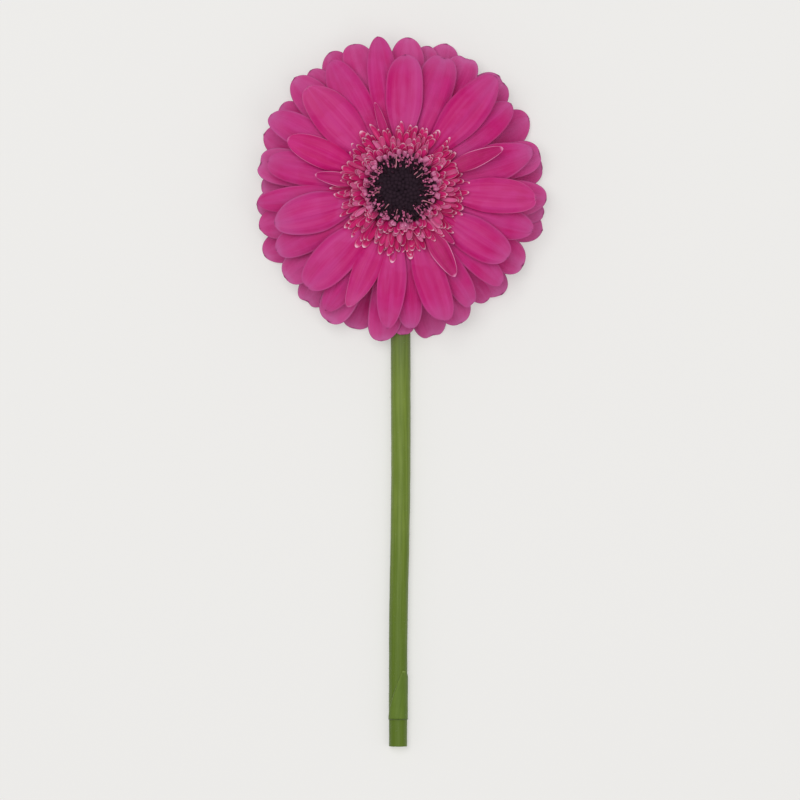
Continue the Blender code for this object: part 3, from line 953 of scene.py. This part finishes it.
def thread_group(spiral: bpy.types.NodeTree) -> bpy.types.NodeTree:
    """Sets bent threads with thickened ends, such as stamens, out in a spiral."""
    g = Graph.group("threads", TreeKind.GEOMETRY)
    order = g.given_as(spiral)
    length, bow, radius, knob = g.numbers(length=3 * MM, bow=1 * MM, radius=0.18 * MM, knob=1.6)
    inputs = {
        "Resolution": 6,
        "Start": (0.0, 0.0, 0.0),
        "Middle": g.vector(0.0, length * 0.5, bow),
        "End": g.vector(0.0, length, 0.0),
    }
    line = g.node("GeometryNodeCurveQuadraticBezier", inputs)
    along = g.node("GeometryNodeSplineParameter", output="Factor")
    end = g.step(along, 0.55, 0.8) * g.math("SQRT", g.math("MAXIMUM", 1.06 - along, 0.0)) * 3.4
    thick = radius * (1.0 - along * 0.3 + end * (knob - 0.7))
    ring = g.node("GeometryNodeCurvePrimitiveCircle", {"Resolution": 5, "Radius": 1.0})
    sweep = {"Curve": line, "Profile Curve": ring, "Scale": thick, "Fill Caps": True}
    tube = g.node("GeometryNodeCurveToMesh", sweep)
    tube = g.node("GeometryNodeMergeByDistance", {"Geometry": tube, "Distance": WELD})
    return spread(g, spiral, order, [g.node("GeometryNodeSetShadeSmooth", {"Geometry": tube})])


def buds_group(spiral: bpy.types.NodeTree) -> bpy.types.NodeTree:
    """Sets small upright buds out in a spiral."""
    g = Graph.group("buds", TreeKind.GEOMETRY)
    order = g.given_as(spiral)
    width, height = g.numbers(width=1 * MM, height=3 * MM)
    bud = g.node("GeometryNodeMeshUVSphere", {"Segments": 6, "Rings": 5, "Radius": 0.5})
    x, y, z = g.split(g.node("GeometryNodeInputPosition"))
    pinch = 1.0 - g.math("MAXIMUM", z, 0.0) * 0.7
    spot = g.vector(x * width * pinch, y * width * pinch, z * height)
    bud = g.node("GeometryNodeSetPosition", {"Geometry": bud, "Position": spot})
    return spread(g, spiral, order, [g.node("GeometryNodeSetShadeSmooth", {"Geometry": bud})])


# How the trans florets differ: longer, wider, blunter and more cupped by these shares.
FRILL_KINDS = (
    (1.0, 1.0, 1.0, 1.0),
    (1.12, 0.82, 0.75, 0.6),
    (0.88, 1.12, 1.2, 1.3),
    (1.04, 0.92, 0.9, 1.6),
)


@dataclass(frozen=True)
class Groups:
    """The geometry groups that the sub-assemblies share."""

    blade: bpy.types.NodeTree
    floret: bpy.types.NodeTree
    frill: bpy.types.NodeTree
    threads: bpy.types.NodeTree
    buds: bpy.types.NodeTree
    stalk: bpy.types.NodeTree
    sheath: bpy.types.NodeTree
    down: bpy.types.NodeTree

    @classmethod
    def build(cls) -> Groups:
        """Builds every group once."""
        shell, spiral = shell_group(), spiral_group()
        blade = blade_group(shell)
        return cls(
            blade=blade,
            floret=floret_group(blade),
            frill=frill_group(blade, spiral),
            threads=thread_group(spiral),
            buds=buds_group(spiral),
            stalk=stalk_group(),
            sheath=sheath_group(shell),
            down=down_group(),
        )


# --- sub-assemblies ----------------------------------------------------------------------------------


@dataclass(frozen=True)
class Lie:
    """How the ray florets of one whorl lie: slopes at root and tip, droop, fullness, width, bluntness."""

    root_slope: float
    tip_slope: float
    droop: float
    belly: float
    root_share: float
    spread: float
    blunting: float
    slot: str


class Whorl(Enum):
    """The four whorls of ray florets, from the face of the head to its back."""

    FRONT = Lie(0.22, -0.35, 1.2, 0.53, 0.46, 1.0, 1.0, "ray_petal")
    SECOND = Lie(0.08, -0.50, 1.1, 0.58, 0.56, 1.02, 1.05, "ray_petal")
    THIRD = Lie(-0.08, -0.60, 0.9, 0.68, 0.58, 1.06, 1.2, "rim_petal")
    BACK = Lie(-0.25, -0.35, 0.8, 0.70, 0.58, 1.08, 1.2, "rim_petal")


class Tip(Enum):
    """How a ray floret ends: the roundness of its tip and the depth of its notch."""

    ROUND = (2.1, 0.0)
    BLUNT = (2.8, 0.3)
    SQUARE = (3.6, 0.0)
    NOTCHED = (2.8, 1.2)
    LOBED = (3.2, 1.0)
    POINTED = (1.35, 0.0)


@dataclass(frozen=True)
class Place:
    """Where a ray floret lies: its direction, its root and how far it runs."""

    azimuth: float
    root: Vector
    length: float
    width: float
    rise: float

    @classmethod
    def of_node(cls, node: str, lie: Lie, axis: Vector) -> Place:
        """Reads the place off the CAD node that the floret stands for.

        Args:
            node: the node's name.
            lie: how its whorl lies.
            axis: a point on the head's axis.

        Returns:
            The place, with the root on the node's upper side.
        """
        points = np.array([v.co[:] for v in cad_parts[node].data.vertices])
        points = np.unique(points.round(7), axis=0)
        flat = points[:, :2] - np.array(axis[:2])
        ahead = flat.mean(axis=0)
        ahead /= np.linalg.norm(ahead)
        along = flat @ ahead
        aside = flat @ np.array((-ahead[1], ahead[0]))
        length = (along.max() - along.min()) / CAD_TIP_STOP
        near, far = along < along.min() + 0.3 * MM, along > along.max() - 0.3 * MM
        root_height = points[near, 2].max()
        tip_height = points[far, 2].max() + lie.tip_slope * (1 - CAD_TIP_STOP) * length
        root = Vector((*(np.array(axis[:2]) + ahead * along.min()), root_height))
        azimuth = math.atan2(ahead[1], ahead[0])
        width = 2.04 * abs(aside).max() * lie.spread
        return cls(azimuth, root, length, width, tip_height - root_height)

    @classmethod
    def of_sizes(
        cls,
        axis: Vector,
        azimuth: float,
        root_reach: float,
        reach: float,
        width: float,
        heights: tuple[float, float],
    ) -> Place:
        """Works a place out from sizes in millimetres and degrees, for a floret without a node."""
        turn = math.radians(azimuth)
        ahead = Vector((math.cos(turn), math.sin(turn), 0.0))
        root = Vector((axis.x, axis.y, heights[0] * MM)) + ahead * root_reach * MM
        return cls(turn, root, (reach - root_reach) * MM, width * MM, (heights[1] - heights[0]) * MM)


CAD_TIP_STOP = 0.985  # the share of its length at which a CAD ray floret ends


@dataclass
class RayFlorets:
    """All the large petals, each one for its own CAD node."""

    groups: Groups
    axis: Vector
    finishes: dict[str, bpy.types.Material]
    usual_width: float = 12.0 * MM
    small_width: float = 8.0 * MM
    thickness: float = 0.4 * MM
    grooves: float = 0.24 * MM
    swell: float = 0.9 * MM
    ripple: float = 0.25 * MM
    sway: float = 0.6 * MM
    roll: float = 0.05
    fray: float = 1.1 * MM
    tips: dict[str, tuple[Tip, float]] = field(
        default_factory=lambda: {
            "front_01": (Tip.SQUARE, 0.12),
            "front_02": (Tip.ROUND, -0.15),
            "front_03": (Tip.BLUNT, 0.2),
            "front_04": (Tip.BLUNT, -0.12),
            "front_05": (Tip.SQUARE, -0.2),
            "front_07": (Tip.POINTED, 0.5),
            "front_08": (Tip.BLUNT, 0.1),
            "front_09": (Tip.ROUND, -0.2),
            "front_10": (Tip.ROUND, 0.0),
            "front_11": (Tip.ROUND, -0.3),
            "second_01": (Tip.ROUND, 0.1),
            "second_03": (Tip.LOBED, 0.05),
            "second_05": (Tip.POINTED, -0.2),
            "second_08": (Tip.NOTCHED, 0.2),
            "third_03": (Tip.LOBED, 0.1),
            "third_13": (Tip.NOTCHED, 0.0),
            "back_08": (Tip.NOTCHED, 0.1),
            "back_10": (Tip.NOTCHED, 0.1),
        }
    )
    rimmed: tuple[str, ...] = ("front_10",)
    edged: tuple[str, ...] = ("front_03", "front_07", "front_11")

    def build(self) -> None:
        """Builds every ray floret."""
        number = 0
        for whorl in Whorl:
            prefix = f"ray_floret_{whorl.name.lower()}_"
            for node in sorted(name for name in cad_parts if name.startswith(prefix)):
                number += 1
                place = Place.of_node(node, whorl.value, self.axis)
                piece = self.petal(node.replace("ray_floret", "petal"), place, whorl.value, number)
                settle(piece, whorl.value.slot, node)
        for name, whorl, tip, sizes in EXTRA_PETALS:
            number += 1
            place = Place.of_sizes(self.axis, *sizes)
            settle(self.petal(name, place, whorl.value, number, tip), whorl.value.slot)

    def petal(
        self, name: str, place: Place, lie: Lie, number: int, tip: Tip | None = None
    ) -> bpy.types.Object:
        """Builds one ray floret.

        Args:
            name: the piece's name.
            place: where it lies.
            lie: how its whorl lies.
            number: its number in the head, which seeds its own small differences.
            tip: how it ends, if that isn't looked up by its name.

        Returns:
            The piece.
        """
        chance = np.random.default_rng(number)
        own = name.removeprefix("petal_")
        usual = (Tip.BLUNT if chance.random() < 0.5 else Tip.ROUND, chance.uniform(-0.22, 0.22))
        tip, skew = (tip, 0.0) if tip else self.tips.get(own, usual)
        roundness, notch = tip.value
        small = place.width < self.small_width
        finish = "vivid" if small else "edged" if own in self.edged else lie.slot
        finish = "rimmed" if own in self.rimmed else finish
        size = place.width / self.usual_width
        return grow(
            name,
            self.groups.floret,
            across=20,
            along=30,
            length=place.length,
            width=place.width,
            root_share=lie.root_share,
            belly=lie.belly,
            tip_roundness=roundness * lie.blunting,
            rise=place.rise,
            root_slope=lie.root_slope,
            tip_slope=lie.tip_slope,
            cup=lie.droop * MM * (1.6 * size if small else -size),
            rib=self.grooves * size * chance.uniform(0.6, 1.6),
            ripple=self.ripple * size * chance.uniform(-1, 1),
            swell=self.swell * size * chance.uniform(0.5, 1.2),
            sway=self.sway * chance.uniform(-1, 1),
            roll=self.roll * chance.uniform(-1, 1),
            notch=notch * MM * size,
            skew=skew,
            fray=self.fray * size,
            thickness=self.thickness,
            seed=float(number) * 1.7,
            turn=place.azimuth,
            root=place.root,
            shade=float(chance.random()),
            material=self.finishes[finish],
        )


# Petals too small or too hidden for CAD nodes of their own. The sizes are the azimuth in degrees, then
# the root's reach, the tip's reach and the width, and the heights of root and tip.
EXTRA_PETALS = (
    ("rim_petal_extra_1", Whorl.THIRD, Tip.ROUND, (79.5, 13.8, 49.6, 10.5, (21.4, 4.6))),
    ("rim_petal_extra_2", Whorl.THIRD, Tip.ROUND, (126.7, 13.8, 50.6, 10.5, (21.4, 4.6))),
    ("rim_petal_extra_3", Whorl.BACK, Tip.BLUNT, (178.3, 13.0, 47.2, 9.5, (20.6, 2.4))),
    ("rim_petal_extra_4", Whorl.BACK, Tip.BLUNT, (144.3, 13.0, 49.8, 9.5, (20.6, 2.4))),
    ("rim_petal_extra_5", Whorl.BACK, Tip.BLUNT, (270.6, 13.0, 48.5, 9.6, (21.6, 8.4))),
    ("rim_petal_extra_6", Whorl.BACK, Tip.BLUNT, (307.5, 13.0, 47.1, 8.6, (20.6, 3.0))),
    ("rim_petal_extra_7", Whorl.BACK, Tip.BLUNT, (350.5, 13.0, 48.8, 8.6, (20.6, 3.0))),
    ("short_petal_1", Whorl.FRONT, Tip.POINTED, (22.0, 13.0, 36.6, 5.9, (25.2, 26.0))),
    ("short_petal_2", Whorl.FRONT, Tip.POINTED, (303.0, 13.0, 34.2, 6.8, (25.2, 26.4))),
    ("short_petal_3", Whorl.FRONT, Tip.POINTED, (171.5, 13.0, 29.0, 4.8, (25.2, 26.6))),
    ("short_petal_4", Whorl.FRONT, Tip.POINTED, (106.0, 13.0, 30.2, 2.9, (25.2, 26.6))),
    ("short_petal_5", Whorl.FRONT, Tip.POINTED, (313.0, 13.0, 25.4, 3.0, (25.2, 27.0))),
)


@dataclass(frozen=True)
class Ring:
    """A spiral of pieces round the head's axis, from its inner edge to its outer one, in millimetres.

    A lean of 0 lies flat and points outwards, a quarter turn stands upright, and more points inwards.
    """

    count: int
    radii: tuple[float, float]
    heights: tuple[float, float]
    leans: tuple[float, float] = (0.0, 0.0)
    sizes: tuple[float, float] = (1.0, 1.0)
    scatter: float = 0.0
    tumble: float = 0.0
    chance: int = 0
    start: float = 0.0
    turn: float = GOLDEN_TURN

    def inputs(self, axis: Vector) -> dict[str, object]:
        """The spiral group's inputs for this ring."""
        ends = {"radius": self.radii, "height": self.heights, "lean": self.leans, "size": self.sizes}
        inputs = {}
        for name, (inner, outer) in ends.items():
            unit = MM if name in ("radius", "height") else 1.0
            inputs |= {f"inner_{name}": inner * unit, f"outer_{name}": outer * unit}
        facts = {name: getattr(self, name) for name in ("count", "tumble", "chance", "start", "turn")}
        return inputs | facts | {"scatter": self.scatter * MM, "axis": Vector((axis.x, axis.y, 0.0))}


@dataclass(frozen=True)
class SmallBlade:
    """The shape of a trans floret or a bract: lengths in millimetres, slopes as rise over run."""

    length: float
    width: float
    tip_roundness: float
    rise: float
    root_slope: float
    tip_slope: float
    cup: float
    thickness: float
    sway: float = 0.0
    rib: float = 0.0
    roll: float = 0.0
    root_share: float = 0.4
    belly: float = 0.66
    across: int = 6
    along: int = 8

    def inputs(self) -> dict[str, float]:
        """The blade group's inputs for this shape."""
        lengths = ("length", "width", "rise", "cup", "thickness", "sway", "rib")
        return {name: value * MM if name in lengths else value for name, value in vars(self).items()}


@dataclass(frozen=True)
class Thread:
    """The shape of a style or stamen, in millimetres. The knob is how many times thicker it ends."""

    length: float
    bow: float
    radius: float
    knob: float

    def inputs(self) -> dict[str, float]:
        """The threads group's inputs for this shape."""
        lengths = {"length": self.length * MM, "bow": self.bow * MM, "radius": self.radius * MM}
        return lengths | {"knob": self.knob}


@dataclass
class Frill:
    """The short trans florets between the ray florets and the disc."""

    groups: Groups
    axis: Vector
    skin: bpy.types.Material
    pale_skin: bpy.types.Material
    outer: SmallBlade = SmallBlade(
        length=8.2, width=1.85, tip_roundness=2.0, rise=0.2, root_slope=0.3, tip_slope=0.75,
        cup=0.75, thickness=0.34, sway=0.7,
    )
    outer_ring: Ring = Ring(
        count=228, radii=(11.4, 13.8), heights=(25.0, 24.9), leans=(0.7, 0.14), sizes=(0.88, 1.06),
        scatter=0.8, tumble=0.3, chance=20, start=0.4,
    )
    inner: SmallBlade = SmallBlade(
        length=6.2, width=1.95, tip_roundness=2.4, rise=0.1, root_slope=0.4, tip_slope=0.1,
        cup=0.7, thickness=0.38, sway=0.5,
    )
    inner_ring: Ring = Ring(
        count=136, radii=(10.0, 11.6), heights=(25.1, 25.0), leans=(1.05, 0.7), sizes=(0.85, 0.98),
        scatter=0.5, tumble=0.26, chance=40, start=1.3,
    )
    knob: SmallBlade = SmallBlade(
        length=2.3, width=2.0, tip_roundness=3.2, rise=-0.2, root_slope=1.4, tip_slope=-1.8,
        cup=-0.9, thickness=0.6, sway=0.3,
    )
    knob_ring: Ring = Ring(
        count=58, radii=(9.8, 11.6), heights=(28.3, 28.2), leans=(0.8, 0.5), sizes=(0.6, 1.1),
        scatter=0.5, tumble=0.5, chance=60, start=0.2,
    )
    long_root: float = 13.0
    long_width: float = 2.5
    long_heights: tuple[float, float] = (25.0, 26.4)
    # The longer ones that stand out of the frill, by azimuth in degrees and reach in millimetres.
    long_ones: tuple[tuple[float, float], ...] = (
        (125.0, 23.6), (232.0, 24.6), (237.0, 23.2), (263.0, 24.8), (278.0, 23.6), (57.0, 23.4),
    )

    def build(self) -> None:
        """Builds the outer florets, the inner ones, the pale knobs round the disc and the long ones."""
        rings = (
            ("trans_florets_outer_petals", self.outer, self.outer_ring, self.skin, ["trans_florets_outer"]),
            ("trans_florets_inner_petals", self.inner, self.inner_ring, self.skin, ["trans_florets_inner"]),
            ("trans_floret_knobs", self.knob, self.knob_ring, self.pale_skin, []),
        )
        for name, blade, ring, skin, nodes in rings:
            inputs = blade.inputs() | ring.inputs(self.axis)
            settle(grow(name, self.groups.frill, **inputs, material=skin), "star_petal", *nodes)
        for number, (azimuth, reach) in enumerate(self.long_ones):
            place = Place.of_sizes(
                self.axis, azimuth, self.long_root, reach, self.long_width, self.long_heights
            )
            piece = grow(
                f"long_trans_floret_{number + 1}", self.groups.floret,
                across=6, along=12, length=place.length, width=place.width, root_share=0.35, belly=0.7,
                tip_roundness=2.4, rise=place.rise, root_slope=0.3, tip_slope=0.7, cup=0.9 * MM,
                thickness=0.3 * MM, seed=float(number), turn=place.azimuth, root=place.root,
                shade=number / len(self.long_ones), material=self.skin,
            )
            settle(piece, "star_petal")


@dataclass
class Disc:
    """The dark middle: closed buds, with a ragged ring of stamens round them."""

    groups: Groups
    axis: Vector
    bud_skin: bpy.types.Material
    style_skin: bpy.types.Material
    anther_skin: bpy.types.Material
    stamen_skin: bpy.types.Material
    bud_width: float = 2.3 * MM
    bud_height: float = 2.2 * MM
    bud_ring: Ring = Ring(
        count=190, radii=(0.0, 10.0), heights=(27.5, 27.0), leans=(0.0, -0.45), sizes=(0.9, 1.2),
        scatter=0.1, tumble=0.07, chance=80,
    )
    style: Thread = Thread(length=3.3, bow=0.5, radius=0.22, knob=1.2)
    style_ring: Ring = Ring(
        count=150, radii=(5.6, 9.8), heights=(26.7, 26.5), leans=(1.15, 0.7), sizes=(0.9, 1.1),
        scatter=0.3, tumble=0.35, chance=100,
    )
    stamen: Thread = Thread(length=1.8, bow=0.6, radius=0.2, knob=1.5)
    stamen_ring: Ring = Ring(
        count=120, radii=(8.2, 11.4), heights=(28.2, 28.6), leans=(2.5, 2.2), sizes=(0.6, 1.2),
        scatter=0.8, tumble=0.8, chance=120,
    )
    filament: Thread = Thread(length=3.9, bow=0.8, radius=0.19, knob=1.0)
    filament_ring: Ring = Ring(
        count=12, radii=(9.6, 11.2), heights=(28.9, 28.9), leans=(2.95, 2.8), sizes=(0.6, 1.1),
        scatter=0.8, tumble=0.5, chance=160, start=0.5,
    )

    def build(self) -> None:
        """Builds the buds, the dark styles, the stamens and a few longer filaments."""
        buds = grow(
            "disc_florets_buds", self.groups.buds, **self.bud_ring.inputs(self.axis),
            width=self.bud_width, height=self.bud_height, material=self.bud_skin,
        )
        settle(buds, "disc", "disc_florets")
        rings = (
            ("disc_styles", self.style, self.style_ring, self.style_skin, "disc"),
            ("disc_stamens", self.stamen, self.stamen_ring, self.anther_skin, "star_petal"),
            ("disc_filaments", self.filament, self.filament_ring, self.stamen_skin, "star_petal"),
        )
        for name, thread, ring, skin, slot in rings:
            inputs = thread.inputs() | ring.inputs(self.axis)
            settle(grow(name, self.groups.threads, **inputs, material=skin), slot)


@dataclass
class Involucre:
    """The cup of green bracts behind the head."""

    groups: Groups
    axis: Vector
    skin: bpy.types.Material
    inner: SmallBlade = SmallBlade(
        length=12.6, width=3.6, tip_roundness=1.3, rise=3.4, root_slope=0.5, tip_slope=0.08,
        cup=-0.4, thickness=0.45, rib=0.08, roll=0.14, root_share=0.7, belly=0.35, across=8, along=14,
    )
    inner_ring: Ring = Ring(
        count=21, radii=(4.0, 4.0), heights=(14.9, 14.9), tumble=0.03, chance=140,
        turn=2 * math.pi / 21,
    )
    outer: SmallBlade = replace(
        inner, length=8.6, width=3.4, tip_roundness=1.2, rise=2.4, root_slope=0.45, tip_slope=0.1,
        rib=0.06,
    )
    outer_ring: Ring = replace(
        inner_ring, count=17, heights=(14.0, 14.0), start=0.1, turn=2 * math.pi / 17
    )

    def build(self) -> None:
        """Builds both rows of bracts."""
        rows = (("inner", self.inner, self.inner_ring), ("outer", self.outer, self.outer_ring))
        for name, blade, ring in rows:
            inputs = blade.inputs() | ring.inputs(self.axis) | {"material": self.skin}
            settle(grow(f"{name}_bracts", self.groups.frill, **inputs), "bract", f"bracts_{name}")


@dataclass
class Stem:
    """The stem on its side, its sheathing bract and its down."""

    groups: Groups
    axis: Vector
    skin: bpy.types.Material
    bract_skin: bpy.types.Material
    down_skin: bpy.types.Material
    neck_bend: float = 11.0 * MM
    neck_rise: float = 10.55 * MM
    drift: float = -1.0 * MM
    bow: float = 0.42 * MM
    cut_radius: float = 3.04 * MM
    neck_radius: float = 3.38 * MM

    def build(self) -> None:
        """Builds the stem, the bract and the hairs."""
        cut_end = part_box("stem")[0][1]
        lying = self.axis.y - self.neck_bend - cut_end
        stem = grow(
            "stem_stalk", self.groups.stalk, lying_length=lying, bend_radius=self.neck_bend,
            bend_rise=self.neck_rise, collar=0.8 * MM, drift=self.drift, bow=self.bow,
            cut_radius=self.cut_radius, neck_radius=self.neck_radius, rib=0.22 * MM, lump=0.25 * MM,
            cut_end=(self.axis.x, cut_end, 0.0), material=self.skin,
        )
        settle(stem, "stem", "stem")
        low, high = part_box("stem_bract")
        share = (low[1] - cut_end) / lying
        side = self.axis.x + self.drift * math.cos(share * math.pi / 2) ** 2
        sheath = grow(
            "stem_sheath", self.groups.sheath, length=high[1] - low[1], radius=self.cut_radius + 0.2 * MM,
            left=math.radians(172), right=math.radians(-32), point=math.radians(63), flare=0.12 * MM,
            thickness=0.24 * MM, root=(side, low[1], self.cut_radius), material=self.bract_skin,
        )
        settle(sheath, "bract", "stem_bract")
        surface = self.down_tree(stem)
        down = grow("stem_down", surface, material=self.down_skin)
        settle(down, "stem")

    def down_tree(self, stem: bpy.types.Object) -> bpy.types.NodeTree:
        """Makes the tree that grows hairs on the stem."""
        g = Graph.group("stem_down", TreeKind.GEOMETRY)
        material = g.given("Material", Socket.MATERIAL)
        surface = g.node("GeometryNodeObjectInfo", {"Object": stem}, "Geometry")
        hairs = {"Density": 520000.0, "Lowest": 1.2 * MM, "Length": 0.55 * MM, "Thickness": 0.022 * MM}
        grown = g.use(self.groups.down, hairs | {"Surface": surface, "Material": material})
        g.result({"Geometry": grown}, Socket.GEOMETRY)
        return g.tree


@dataclass
class Studio:
    """The pale floor, the soft lights and the camera."""

    axis: Vector
    lens: float = 300.0
    camera_height: float = 2.2447
    camera_place: tuple[float, float] = (-0.33 * MM, -2.5 * MM)
    floor_side: float = 6.0

    def build(self) -> None:
        """Builds the floor, the lights, the world and the camera."""
        self.floor()
        self.light("key", place=(-0.35, 0.4, 2.1), side=1.2, watts=23.0)
        self.light("fill", place=(0.7, -0.4, 1.9), side=1.2, watts=6.8)
        self.world(strength=0.405)
        self.camera()
        bpy.context.scene.view_settings.view_transform = "Standard"

    def floor(self) -> None:
        """Lays the floor."""
        bpy.ops.mesh.primitive_plane_add(size=self.floor_side, location=(0.0, 0.0, 0.0))
        floor = bpy.context.object
        floor.name = "floor"
        floor.data.materials.append(FloorFinish("floor_paper").material())

    def light(self, name: str, place: tuple[float, float, float], side: float, watts: float) -> None:
        """Hangs a soft square light that faces the flower.

        Args:
            name: the light's name.
            place: where it hangs.
            side: its side.
            watts: its strength.
        """
        lamp = bpy.data.lights.new(name, "AREA")
        lamp.size = side
        lamp.energy = watts
        holder = bpy.data.objects.new(name, lamp)
        holder.location = place
        holder.rotation_euler = (self.axis - Vector(place)).to_track_quat("-Z", "Y").to_euler()
        bpy.context.scene.collection.objects.link(holder)

    def world(self, strength: float) -> None:
        """Fills the room with even light."""
        world = bpy.data.worlds.new("room")
        world.use_nodes = True
        backdrop = world.node_tree.nodes["Background"]
        backdrop.inputs["Color"].default_value = (1.0, 1.0, 1.0, 1.0)
        backdrop.inputs["Strength"].default_value = strength
        bpy.context.scene.world = world

    def camera(self) -> None:
        """Hangs the camera, which looks straight down."""
        camera = bpy.data.cameras.new("camera")
        camera.lens = self.lens
        camera.sensor_width = 36.0
        camera.clip_end = 10.0
        holder = bpy.data.objects.new("camera", camera)
        holder.location = (*self.camera_place, self.camera_height)
        bpy.context.scene.collection.objects.link(holder)
        bpy.context.scene.camera = holder


def main() -> None:
    """Builds the flower and its studio."""
    logging.basicConfig(level=logging.INFO, format="%(message)s")
    groups = Groups.build()
    effects = Effects(veins_group(), rim_group(), mottle_group())
    low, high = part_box("receptacle")
    axis = Vector(((low[0] + high[0]) / 2, (low[1] + high[1]) / 2, high[2]))
    petals = {
        "ray_petal": PetalFinish("ray_petal_skin", effects).material(),
        # The lower whorls are painted lighter than the face petals to make up for the shade the upper
        # whorls cast on them: painted light. Their stronger outline is painted shade.
        "rim_petal": PetalFinish(
            "rim_petal_skin", effects, body=linear(204, 52, 135), deep=linear(194, 18, 113),
            bloom=linear(202, 98, 159), bloom_share=0.6, outline_share=0.75,
        ).material(),
        "vivid": PetalFinish(
            "short_petal_skin", effects, body=linear(186, 8, 108), deep=linear(170, 0, 90),
            bloom=linear(240, 150, 196), bloom_side=0.12, bloom_share=1.0, bloom_tip=0.0, rim_tip=0.05,
            rim_start=0.3, outline_share=0.0,
        ).material(),
        "rimmed": PetalFinish(
            "rimmed_petal_skin", effects, body=linear(200, 26, 122), deep=linear(190, 0, 102),
            bloom=linear(226, 122, 178), bloom_side=0.07, bloom_share=0.8, bloom_tip=0.0, rim_tip=0.03,
            rim_start=0.35, outline_share=0.0,
        ).material(),
        "edged": PetalFinish(
            "edged_petal_skin", effects, bloom=linear(216, 116, 170), bloom_side=0.07, bloom_share=0.8,
            bloom_tip=0.15, rim_tip=0.025, rim_start=0.5, outline_share=0.1,
        ).material(),
    }
    frill_skin = FrillFinish("trans_floret_skin", effects).material()
    # The knobs' root colour is painted shade too.
    knob_skin = FrillFinish(
        "trans_floret_knob_skin", effects, body=linear(206, 112, 156), deep=linear(158, 62, 108),
        root=linear(96, 30, 62), inner=linear(180, 92, 136), lip=linear(232, 176, 206), lip_share=0.5,
    ).material()
    dark, styles, anthers, stamens, down = (
        ThreadFinish(name, effects, linear(*deep), linear(*pale), *shine).material()
        for name, deep, pale, *shine in (
            ("disc_bud_skin", (39, 27, 36), (50, 35, 45), 0.8, 0.05),
            ("disc_style_skin", (28, 15, 24), (74, 42, 58), 0.7, 0.1),
            ("anther_skin", (104, 34, 64), (240, 128, 176), 0.5, 0.3),
            ("stamen_skin", (150, 76, 92), (222, 150, 168), 0.5),
            ("down_hair", (150, 160, 124), (196, 202, 176), 0.6),
        )
    )
    green = GreenFinish("bract_skin", effects).material()
    sheath = GreenFinish(
        "sheath_skin", effects, body=linear(98, 122, 34), deep=linear(80, 106, 20),
        edge=linear(150, 172, 84), edge_side=0.07, edge_tip=0.05,
    ).material()
    cut_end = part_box("stem")[0][1]
    stem = StemFinish("stem_skin", effects, cut_end).material()

    RayFlorets(groups, axis, petals).build()
    Frill(groups, axis, frill_skin, knob_skin).build()
    Disc(groups, axis, dark, styles, anthers, stamens).build()
    Involucre(groups, axis, green).build()
    Stem(groups, axis, stem, sheath, down).build()
    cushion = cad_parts["receptacle"]
    cushion.data.materials.clear()
    cushion.data.materials.append(CushionFinish("receptacle_flesh", effects, axis).material())
    Studio(axis).build()


if __name__ == "__main__":
    main()
